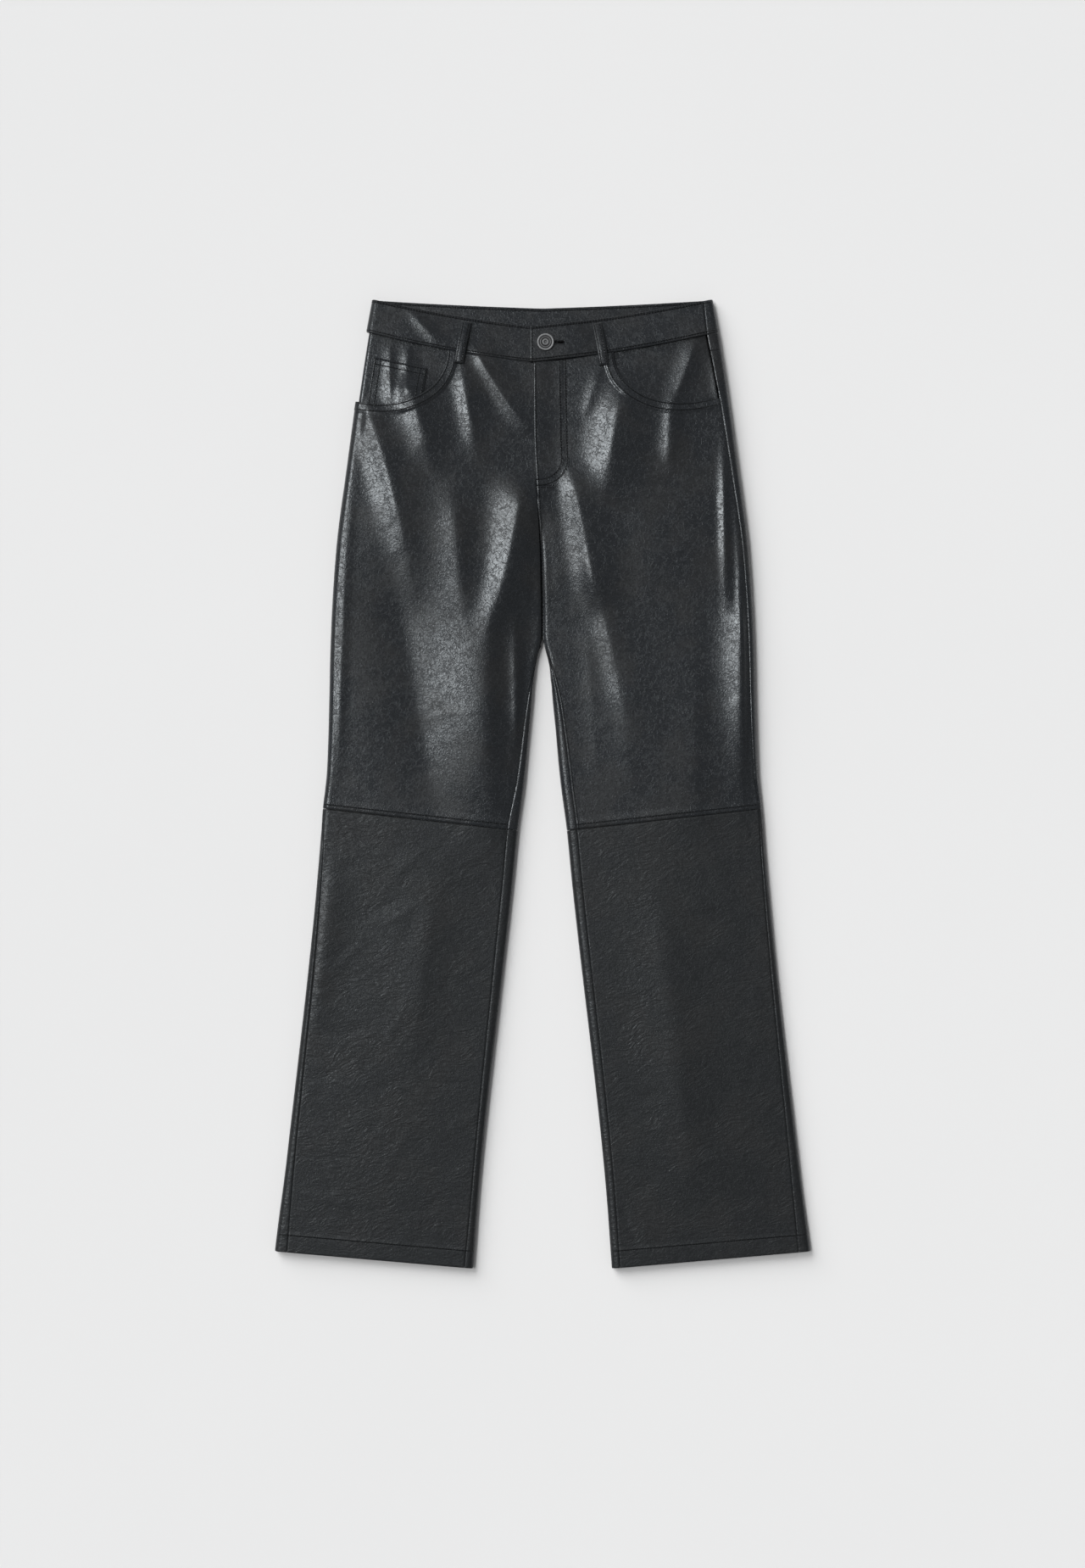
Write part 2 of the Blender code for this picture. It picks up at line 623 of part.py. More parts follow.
def make_button():
    """A turned shank button: a ringed cap on a post that passes through the buttonhole's eye."""
    under = front_height("left", BUTTON_X, BUTTON_Y)
    foot = under + SEAM_GAP + LAYER_GAP
    base = under + BAND_CLOTH + LAYER_GAP + BUTTON_CLEARANCE
    profile = (
        (0.0, foot),
        (POST_R, foot),
        (POST_R, base),
        (BUTTON_R - 0.4, base),
        (BUTTON_R, base + 0.5),
        (BUTTON_R, base + 1.6),
        (BUTTON_R - 0.7, base + 2.4),
        (BUTTON_R - 2.0, base + 2.4),
        (BUTTON_R - 2.6, base + 1.8),
        (BUTTON_R - 4.4, base + 1.8),
        (BUTTON_R - 5.0, base + 2.5),
        (BUTTON_R - 6.4, base + 2.5),
        (BUTTON_R - 7.0, base + 2.0),
        (0.0, base + 2.0),
    )
    bm = bmesh.new()
    corners = [bm.verts.new((r * MM, 0, z * MM)) for r, z in profile]
    edges = [bm.edges.new(pair) for pair in zip(corners, corners[1:])]
    turned = {"cent": (0, 0, 0), "axis": (0, 0, 1), "angle": 2 * math.pi, "steps": 24}
    bmesh.ops.spin(bm, geom=corners + edges, use_merge=True, **turned)
    bmesh.ops.remove_doubles(bm, verts=bm.verts[:], dist=1e-6)
    finish = material("button_metal", (0.16, 0.17, 0.18), 0.3, 0.9)
    button = add_object("waist_button", bm, finish)
    button.location = (BUTTON_X * MM, BUTTON_Y * MM, 0)


def main():
    """Makes every piece in an empty scene."""
    for old in list(bpy.data.objects):
        bpy.data.objects.remove(old, do_unlink=True)
    for side in SIDES:
        make_legs(side)
    make_facings()
    make_coin_pocket()
    make_waistband()
    make_back_waistband()
    make_belt_loops()
    make_button()


main()
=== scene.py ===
"""Leather-look trousers laid flat on a pale floor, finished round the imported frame.

Sizes in the tables and classes are millimetres, and meshes are in metres. The waist points along +Y,
the wearer's right leg is on the -X side, and +Z points up out of the front. A place on the cloth is a
level, the height of the outer end of a cross line, and an arc, the cloth between it and the edge of
the outer fold: above 0 over the front, below 0 under the back.
"""

import logging
import math
from dataclasses import dataclass, field, fields
from enum import Enum

import bmesh
import bpy
import numpy as np
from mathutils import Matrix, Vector


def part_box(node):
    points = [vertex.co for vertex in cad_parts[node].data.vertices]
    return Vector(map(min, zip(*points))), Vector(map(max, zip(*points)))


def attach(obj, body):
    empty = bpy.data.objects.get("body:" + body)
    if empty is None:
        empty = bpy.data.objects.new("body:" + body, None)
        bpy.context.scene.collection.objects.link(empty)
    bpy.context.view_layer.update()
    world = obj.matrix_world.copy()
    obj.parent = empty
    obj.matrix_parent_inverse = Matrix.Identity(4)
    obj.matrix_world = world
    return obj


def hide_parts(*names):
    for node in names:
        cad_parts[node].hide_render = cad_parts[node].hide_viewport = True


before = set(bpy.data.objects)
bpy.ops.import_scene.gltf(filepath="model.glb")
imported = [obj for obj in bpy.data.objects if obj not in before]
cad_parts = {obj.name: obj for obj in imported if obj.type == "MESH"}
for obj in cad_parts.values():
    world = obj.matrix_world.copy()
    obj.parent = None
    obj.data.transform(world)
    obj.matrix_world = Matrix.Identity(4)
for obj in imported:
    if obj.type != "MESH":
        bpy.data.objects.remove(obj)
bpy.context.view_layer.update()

log = logging.getLogger("trousers")

MM = 0.001
CLOTH = 1.2
BAND_CLOTH = 2.4
SEAM_GAP = 0.3
LAYER_GAP = 0.4
BUTTON_CENTRE = (3.3, 482.3)

# levels
WAIST_TOP = 530.0
WAIST_SEAM = 494.0
YOKE_SIDE = 476.0
YOKE_CENTRE = 443.0
SEAT_LEVEL = 330.0
CROTCH = 168.0
KNEE = -27.0
HEM = -511.0

# meshes
EDGE_STEPS = (0.0, 0.25, 0.6, 1.2, 2.2)  # distances of the close rows beside a cut edge
EDGE_ROUND = 0.9  # width of the rounding along a cut edge
FAR = 40.0  # what a measure says where its line is nowhere near
TINY = 1e-6
SHARP = math.radians(52)

# folds
ROLLED = 1.57  # a back whose inner end has rolled this far up meets the front
CREST = 0.12  # rounding of a fold's crest, as a share of its flank
OUTER_FADE = 8.0  # over which the folds die away towards the outer fold's edge
INNER_FADE = 12.0  # and towards the inner fold
ROLL_FADE = 12.0  # over which the back's inner end rolls up below the crotch
INSEAM_FADE = 6.0


class Side(Enum):
    """The wearer's side. Its value is the sign of x there."""

    RIGHT = -1.0
    LEFT = 1.0

    @property
    def word(self) -> str:
        """The side as it stands in names."""
        return self.name.lower()


class Slot(Enum):
    """The record's material slots."""

    LEG = "leg_leather"
    BAND = "waistband_leather"
    POCKET = "pocket_leather"
    THREAD = "thread"
    METAL = "button_metal"


# ---------------------------------------------------------------- the garment's form


@dataclass(frozen=True)
class Section:
    """One cross line: its ends from above, its two folds and the height of the front over it."""

    level: float
    outer_x: float
    inner_x: float
    front_y: float
    back_y: float
    centre_x: float
    outer_r: float
    inner_r: float
    inner_z: float
    turn: float
    crown: float
    bow: float


SECTIONS = (
    Section(530, 186.5, 0.0, 500, 521, -10.0, 5.5, 4.5, 10.0, 0.00, 0.0, 0.36),
    Section(494, 193.0, 0.0, 461, 483, -10.0, 6.5, 4.5, 12.0, 0.00, 0.6, 0.42),
    Section(415, 205.0, 0.0, 386, 400, -9.5, 7.0, 4.5, 13.0, 0.00, 1.2, 0.20),
    Section(345, 214.5, 0.0, 327, 337, -6.5, 7.0, 4.5, 13.0, 0.00, 1.8, 0.05),
    Section(255, 226.0, 0.0, 243, 250, -1.5, 7.0, 4.5, 12.0, 0.75, 2.0, 0.00),
    Section(168, 231.5, 0.0, 163, 165, 0.0, 6.5, 4.5, 9.0, 1.00, 2.0, 0.00),
    Section(135, 232.6, 6.8, 131, 131, 0.0, 6.5, 4.6, 9.2, 1.00, 2.0, 0.00),
    Section(90, 233.5, 11.6, 84, 84, 0.0, 6.5, 5.0, 10.0, 1.00, 1.8, 0.00),
    Section(15, 236.0, 19.5, 2, 2, 0.0, 6.0, 5.0, 10.0, 1.00, 1.5, 0.00),
    Section(-27, 240.5, 26.5, -51, -51, 0.0, 5.5, 5.0, 10.0, 1.00, 1.2, 0.00),
    Section(-79, 244.5, 31.5, -102, -102, 0.0, 5.2, 4.9, 9.8, 1.00, 1.0, 0.00),
    Section(-423, 282.0, 69.0, -443, -443, 0.0, 4.8, 4.7, 9.4, 1.00, 0.5, 0.00),
    Section(-511, 293.5, 75.5, -530, -530, 0.0, 4.7, 4.6, 9.2, 1.00, 0.0, 0.00),
)


@dataclass(frozen=True)
class SeamPlace:
    """Where the leg seams lie on a cross line, as cloth from the fold's edge, + on the front."""

    level: float
    side_right: float
    side_left: float
    inner_right: float
    inner_left: float


SEAMS = (
    SeamPlace(530, -15.0, 14.0, 0.0, 0.0),
    SeamPlace(494, -15.5, 17.0, 0.0, 0.0),
    SeamPlace(415, -15.0, 14.2, 0.0, 0.0),
    SeamPlace(300, -13.0, 11.8, 0.0, 0.0),
    SeamPlace(168, -10.7, 10.4, 0.0, 0.0),
    SeamPlace(90, -6.5, 9.9, 8.4, 10.8),
    SeamPlace(15, -2.0, 8.4, 11.3, 13.8),
    SeamPlace(-27, 2.5, 7.1, 14.3, 13.8),
    SeamPlace(-79, 6.8, 7.9, 14.2, 13.7),
    SeamPlace(-423, 12.3, 13.1, 10.7, 12.1),
    SeamPlace(-511, 16.6, 16.1, 12.5, 11.9),
)


@dataclass(frozen=True)
class Fold:
    """A soft ridge down the front, or a trough where its height is below 0."""

    top: tuple[float, float]
    foot: tuple[float, float]
    bend: float  # how far its middle stands to +X of the straight line
    minus: float  # reach of its flank on the -X side
    plus: float  # reach of its flank on the +X side
    height: float
    rise: float = 0.38  # share of its length over which it rises at the top
    fall: float = 0.38  # share over which it dies away at the foot
    full: float = 0.0  # 0 for hollow flanks, 1 for ones that stay steep further down


FOLDS = (
    # the wearer's right leg
    Fold((-196, 424), (-138, 180), 8, 30, 44, 4.1, rise=0.15, fall=0.6),
    Fold((-149, 452), (-114, 322), 0, 38, 40, 4.6, rise=0.2, fall=0.6),
    Fold((-92, 480), (-70, 345), 0, 20, 30, 2.6),
    Fold((-80, 488), (-7, 376), -4, 15, 28, 2.4, rise=0.25, fall=0.3),
    Fold((-20, 348), (-66, 140), 7, 42, 44, 6.8, rise=0.22, fall=0.35),
    Fold((-58, 238), (-57, -120), -3, 98, 50, 7.5, rise=0.3, fall=0.6, full=1.0),
    Fold((-176, 305), (-106, -90), 0, 62, 70, -3.2, rise=0.35, fall=0.45),
    Fold((-102, 345), (-86, 150), 3, 42, 34, 3.2),
    Fold((-11, 318), (-9, 200), 0, 8, 10, 1.3, rise=0.15, fall=0.7),
    Fold((-31, 215), (-27, 10), 0, 15, 16, 3.0),
    Fold((-209, 420), (-227, -25), 0, 9, 12, 0.9, rise=0.1, fall=0.3),
    Fold((-166, 490), (-167, 405), 0, 12, 10, 1.2),
    Fold((-146, 492), (-151, 405), 0, 17, 16, 1.6),
    Fold((-152, 524), (-104, 472), 0, 12, 14, 1.2),
    # the wearer's left leg
    Fold((66, 462), (42, 392), 0, 15, 16, 0.9),
    Fold((96, 466), (67, 284), -4, 38, 60, 5.8, rise=0.34, fall=0.5),
    Fold((22, 366), (57, 178), 7, 27, 46, 3.9, rise=0.3, fall=0.3),
    Fold((46, 262), (98, 30), 4, 23, 44, 2.2, rise=0.25, fall=0.6),
    Fold((42, 226), (61, -26), 2, 16, 22, 0.35),
    Fold((96, 150), (93, -26), 0, 48, 60, 1.0),
    Fold((197, 408), (201, 172), 0, 11, 9, 2.2, rise=0.45, fall=0.4),
    Fold((209, 400), (219, 140), 2, 9, 8, 1.8, rise=0.1, fall=0.4),
    Fold((219, 232), (216, -70), 0, 38, 16, 5.2, rise=0.2, fall=0.6),
    Fold((165, 150), (170, -80), 0, 80, 40, 1.6),
    Fold((142, 440), (137, 330), 0, 20, 28, 2.8),
    Fold((176, 504), (138, 402), 0, 20, 18, 2.6),
    Fold((190, 498), (193, 406), 0, 10, 8, 1.2),
    # below the knees
    Fold((-222, -50), (-252, -300), 0, 40, 30, 1.2),
    Fold((-110, -60), (-150, -330), 0, 70, 40, 1.2),
    Fold((120, -50), (170, -500), 0, 60, 50, 1.6),
    # the valley of the rise
    Fold((-3, 326), (1, 172), 0, 16, 16, -2.0),
)


def ease(t: np.ndarray | float) -> np.ndarray:
    """0 to 1 with soft ends."""
    t = np.clip(t, 0, 1)
    return t * t * (3 - 2 * t)


def monotone_through(at: np.ndarray, places: np.ndarray, values: np.ndarray) -> np.ndarray:
    """Reads a smooth curve through a table that never overshoots it.

    Args:
        at: Places asked for, of any shape.
        places: The table's places, rising.
        values: The table's values.

    Returns:
        The values at the places asked for.
    """
    steps = np.diff(places)
    rates = np.diff(values) / steps
    slopes = np.concatenate([rates[:1], np.zeros(len(rates) - 1), rates[-1:]])
    for i in range(1, len(rates)):
        if rates[i - 1] * rates[i] > 0:
            before = steps[i - 1] + 2 * steps[i]
            after = 2 * steps[i - 1] + steps[i]
            slopes[i] = (before + after) / (before / rates[i - 1] + after / rates[i])
    k = np.clip(np.searchsorted(places, at, side="right") - 1, 0, len(steps) - 1)
    t = (at - places[k]) / steps[k]
    rise = values[k] * (1 + 2 * t) * (1 - t) ** 2 + values[k + 1] * t**2 * (3 - 2 * t)
    lean = slopes[k] * t * (1 - t) ** 2 - slopes[k + 1] * t**2 * (1 - t)
    return rise + lean * steps[k]


def column(table: tuple, name: str, level: np.ndarray) -> np.ndarray:
    """Reads a named column of a table.

    Args:
        table: Rows with a level field.
        name: The field to read.
        level: Levels asked for.

    Returns:
        The column's values at those levels.
    """
    rows = sorted(table, key=lambda row: row.level)
    places = np.array([row.level for row in rows], float)
    values = np.array([getattr(row, name) for row in rows], float)
    return monotone_through(np.asarray(level, float), places, values)


@dataclass(frozen=True)
class Dent:
    """A small soft dent or swell of the cloth."""

    x: float
    y: float
    angle: float
    length: float
    width: float
    height: float


@dataclass(frozen=True)
class DentScatter:
    """How the small dents are strewn over the legs. Ranges are smallest and largest."""

    seed: int = 7
    count: int = 420
    along: tuple[float, float] = (-520, 440)
    aside: tuple[float, float] = (18, 285)
    slant: float = 25  # degrees, up towards the outer side
    spread: float = 28
    length: tuple[float, float] = (9, 26)
    width: tuple[float, float] = (3.5, 7.5)
    height: tuple[float, float] = (0.08, 0.24)
    thigh_share: float = 0.6  # of the height below the knees

    def dents(self) -> tuple[Dent, ...]:
        """Strews the dents, slanted and uneven, and deeper below the knees.

        Returns:
            The dents, on the right and left leg in turn.
        """
        random = np.random.default_rng(self.seed)
        dents = []
        for number in range(self.count):
            y = random.uniform(*self.along)
            x = random.uniform(*self.aside) * (1 if number % 2 else -1)
            share = 1.0 if y < KNEE else self.thigh_share
            dents.append(
                Dent(
                    x=x,
                    y=y,
                    angle=math.radians(random.normal(self.slant if x < 0 else -self.slant, self.spread)),
                    length=random.uniform(*self.length),
                    width=random.uniform(*self.width),
                    height=random.choice([-1.0, 1.0]) * random.uniform(*self.height) * share,
                )
            )
        return tuple(dents)


DENTS = DentScatter().dents()
DENT_REACH = 2.2  # past this many lengths a dent no longer counts


def relief(x: np.ndarray, y: np.ndarray) -> np.ndarray:
    """Height of the folds over a place on the front.

    Args:
        x: Places across, in millimetres.
        y: Places along, in millimetres.

    Returns:
        What the folds add to the height there.
    """
    total = np.zeros_like(x)
    for fold in FOLDS:
        start = np.array(fold.top, float)
        run = np.array(fold.foot, float) - start
        length = np.hypot(*run)
        along = ((x - start[0]) * run[0] + (y - start[1]) * run[1]) / length**2
        across = ((x - start[0]) * -run[1] + (y - start[1]) * run[0]) / length
        across = across - fold.bend * 4 * along * (1 - along)
        flank = np.abs(across) / np.where(across < 0, fold.minus, fold.plus)
        soft = np.sqrt(flank**2 + CREST**2) - CREST
        ends = ease(along / fold.rise) * ease((1 - along) / fold.fall)
        soft = np.clip(soft, 0, 1)
        hollow = (1 - soft) ** 2
        steep = 1 - 2 * soft + 2 * soft**3 - soft**4
        total = total + fold.height * ends * (hollow + (steep - hollow) * fold.full)
    return total


def rumple(x: np.ndarray, y: np.ndarray) -> np.ndarray:
    """Height of the small dents over a place.

    Args:
        x: Places across.
        y: Places along.

    Returns:
        What the dents add to the height there.
    """
    total = np.zeros_like(x)
    for dent in DENTS:
        reach = DENT_REACH * dent.length
        near = (np.abs(x - dent.x) < reach) & (np.abs(y - dent.y) < reach)
        dx, dy = x[near] - dent.x, y[near] - dent.y
        along = dx * math.cos(dent.angle) + dy * math.sin(dent.angle)
        across = -dx * math.sin(dent.angle) + dy * math.cos(dent.angle)
        shape = np.exp(-((along / dent.length) ** 2) - (across / dent.width) ** 2)
        total[near] += dent.height * shape
    return total


def curl(level: np.ndarray) -> np.ndarray:
    """Share of a quarter turn by which the back rolls up at its inner end: none above the crotch."""
    return ease((CROTCH - level) / ROLL_FADE)


class CrossLine:
    """The cross lines of one leg at given levels."""

    def __init__(self, side: Side, level: np.ndarray) -> None:
        """Works the lines out.

        Args:
            side: The leg's side.
            level: Levels of the lines, of any shape.
        """
        self.level = np.asarray(level, float)
        for row in fields(Section)[1:]:
            setattr(self, row.name, column(SECTIONS, row.name, self.level))
        inner = side.value * (self.inner_x + SEAM_GAP / 2)
        self.outer = side.value * self.outer_x
        self.front_end = self.centre_x + inner
        self.back_end = inner
        self.front_run = np.hypot(self.front_end - self.outer, self.front_y - self.level)
        self.back_run = np.hypot(self.back_end - self.outer, self.back_y - self.level)
        self.front_roll = self.turn * math.pi / 2
        self.back_roll = curl(self.level) * math.pi / 2
        self.quarter = self.outer_r * math.pi / 2
        self.front_flat = self.front_run - self.outer_r - self.inner_r * np.sin(self.front_roll)
        self.back_flat = self.back_run - self.outer_r - self.inner_r * np.sin(self.back_roll)
        self.front_cloth = self.quarter + self.front_flat + self.inner_r * self.front_roll
        self.back_cloth = self.quarter + self.back_flat + self.inner_r * self.back_roll

    def over(self, arc: np.ndarray) -> np.ndarray:
        """Points on the front.

        Args:
            arc: The cloth between them and the outer fold's edge.

        Returns:
            The points.
        """
        angle = np.clip(arc / self.outer_r, 0, math.pi / 2)
        flat = np.clip(arc - self.quarter, 0, None)
        rolled = np.clip((flat - self.front_flat) / self.inner_r, 0, self.front_roll)
        beyond = np.clip(flat - self.front_flat - self.inner_r * self.front_roll, 0, None)
        share = np.clip(flat / self.front_flat, 0, 1)
        plan = self.outer_r * (1 - np.cos(angle)) + np.minimum(flat, self.front_flat)
        plan = plan + self.inner_r * np.sin(rolled) + beyond
        top = 2 * self.outer_r + (self.inner_z - 2 * self.outer_r) * ease(share)
        swell = self.crown * 16 * share**2 * (1 - share) ** 2
        height = top + swell - self.outer_r * (1 - np.sin(angle))
        height = height - self.inner_r * (1 - np.cos(rolled))
        x, y = self.plan_point(plan, self.front_run, self.front_end, self.front_y)
        inner = ease((self.front_flat - flat) / INNER_FADE)
        edge = ease(flat / OUTER_FADE) * (1 - self.turn + self.turn * inner)
        return np.stack([x, y, height + edge * (relief(x, y) + rumple(x, y))], axis=-1)

    def under(self, arc: np.ndarray) -> np.ndarray:
        """Points on the back.

        Args:
            arc: The cloth between them and the outer fold's edge.

        Returns:
            The points.
        """
        angle = np.clip(arc / self.outer_r, 0, math.pi / 2)
        flat = np.clip(arc - self.quarter, 0, self.back_flat)
        rolled = np.clip((arc - self.quarter - self.back_flat) / self.inner_r, 0, math.pi / 2)
        plan = self.outer_r * (1 - np.cos(angle)) + flat + self.inner_r * np.sin(rolled)
        height = self.outer_r * (1 - np.sin(angle)) + self.inner_r * (1 - np.cos(rolled))
        x, y = self.plan_point(plan, self.back_run, self.back_end, self.back_y)
        return np.stack([x, y, height], axis=-1)

    def plan_point(
        self, plan: np.ndarray, run: np.ndarray, end_x: np.ndarray, end_y: np.ndarray
    ) -> tuple[np.ndarray, np.ndarray]:
        """Finds a place from above, a given way along a line that sags between its ends.

        Args:
            plan: Way along the line.
            run: Whole length of the line.
            end_x: x of its inner end.
            end_y: y of its inner end. Past it the line rises again, as the other side's line does.

        Returns:
            x and y of the place.
        """
        share = plan / run
        x = self.outer + (end_x - self.outer) * share
        folded = np.minimum(share, 2 - share)
        return x, self.level + (end_y - self.level) * (folded + self.bow * folded * (1 - folded))

    def point(self, arc: np.ndarray) -> np.ndarray:
        """Points on either face.

        Args:
            arc: Signed cloth: + over the front, - under the back and round the inner fold.

        Returns:
            The points.
        """
        back = -arc
        wraps = (back > self.back_cloth) & (self.back_roll > ROLLED)
        wrapped = self.over(self.front_cloth - (back - self.back_cloth))
        under = np.where(wraps[..., None], wrapped, self.under(back))
        return np.where((arc >= 0)[..., None], self.over(arc), under)


def surface(side: Side, levels: np.ndarray, arcs: np.ndarray) -> tuple[np.ndarray, np.ndarray]:
    """Reads a leg's surface.

    Args:
        side: The leg's side.
        levels: Levels of the places.
        arcs: Their signed cloth.

    Returns:
        Points and unit normals that point out.
    """
    small = 0.05
    line = CrossLine(side, levels)
    across = line.point(arcs + small) - line.point(arcs - small)
    along = CrossLine(side, levels + small).point(arcs) - CrossLine(side, levels - small).point(arcs)
    normal = np.cross(across, along) * -side.value
    return line.point(arcs), normal / np.linalg.norm(normal, axis=-1, keepdims=True)


def locate(side: Side, x: np.ndarray, y: np.ndarray) -> tuple[np.ndarray, np.ndarray]:
    """Finds the level and arc of places on the front.

    Args:
        side: The leg's side.
        x: Places across.
        y: Places along.

    Returns:
        Levels and arcs.
    """
    level = np.array(y, float)
    for _ in range(30):
        line = CrossLine(side, level)
        share = (x - line.outer) / (line.front_end - line.outer)
        reached = line.plan_point(share * line.front_run, line.front_run, line.front_end, line.front_y)
        level = level + y - reached[1]
    plan = share * line.front_run
    bent = line.outer_r * np.arccos(np.clip(1 - plan / line.outer_r, 0, 1))
    return level, np.where(plan < line.outer_r, bent, plan + line.quarter - line.outer_r)


# ---------------------------------------------------------------- finishes


class Wiring:
    """Adds and links the shader nodes of one material or world."""

    def __init__(self, tree: bpy.types.NodeTree) -> None:
        """Keeps the node tree that it works on."""
        self.tree = tree

    def add(self, kind: str, inputs: dict | None = None, **settings: object) -> bpy.types.Node:
        """Adds a node.

        Args:
            kind: Its type, without ShaderNode.
            inputs: Values or sockets for its inputs, by name or number.
            **settings: Its properties.

        Returns:
            The node.
        """
        node = self.tree.nodes.new("ShaderNode" + kind)
        for name, value in settings.items():
            setattr(node, name, value)
        for name, value in (inputs or {}).items():
            if isinstance(value, bpy.types.NodeSocket):
                self.tree.links.new(value, node.inputs[name])
            else:
                node.inputs[name].default_value = value
        return node

    def math(self, operation: str, *values: object) -> bpy.types.NodeSocket:
        """Result of a Math node on values or sockets."""
        return self.add("Math", dict(enumerate(values)), operation=operation).outputs[0]

    def ramp(self, value: object, low: float, high: float, start: float, end: float) -> bpy.types.NodeSocket:
        """Soft step of a value between low and high, from start to end."""
        inputs = {"Value": value, "From Min": low, "From Max": high, "To Min": start, "To Max": end}
        return self.add("MapRange", inputs, interpolation_type="SMOOTHSTEP").outputs["Result"]

    def noise(self, place: object, scale: float, detail: float, bend: float = 0.0) -> bpy.types.NodeSocket:
        """Height of a noise at a place."""
        inputs = {"Vector": place, "Scale": scale, "Detail": detail, "Distortion": bend}
        return self.add("TexNoise", inputs).outputs["Fac"]

    def cells(self, place: object, scale: float) -> bpy.types.NodeSocket:
        """Distance to the walls of irregular cells."""
        inputs = {"Vector": place, "Scale": scale}
        return self.add("TexVoronoi", inputs, feature="DISTANCE_TO_EDGE").outputs["Distance"]


def blank_material(name: str) -> tuple[bpy.types.Material, Wiring, bpy.types.Node]:
    """Makes a material.

    Args:
        name: Its name.

    Returns:
        The material, its wiring and its Principled shader.
    """
    made = bpy.data.materials.new(name)
    made.use_nodes = True
    return made, Wiring(made.node_tree), made.node_tree.nodes["Principled BSDF"]


@dataclass(frozen=True)
class SeamLine:
    """A sewn line, in millimetres: the dimple that a row of stitches pulls into the leather, where painted shade
    darkens its colour.
    """

    measure: str  # the vertex attribute that its place is measured by
    at: float
    depth: float = 0.5


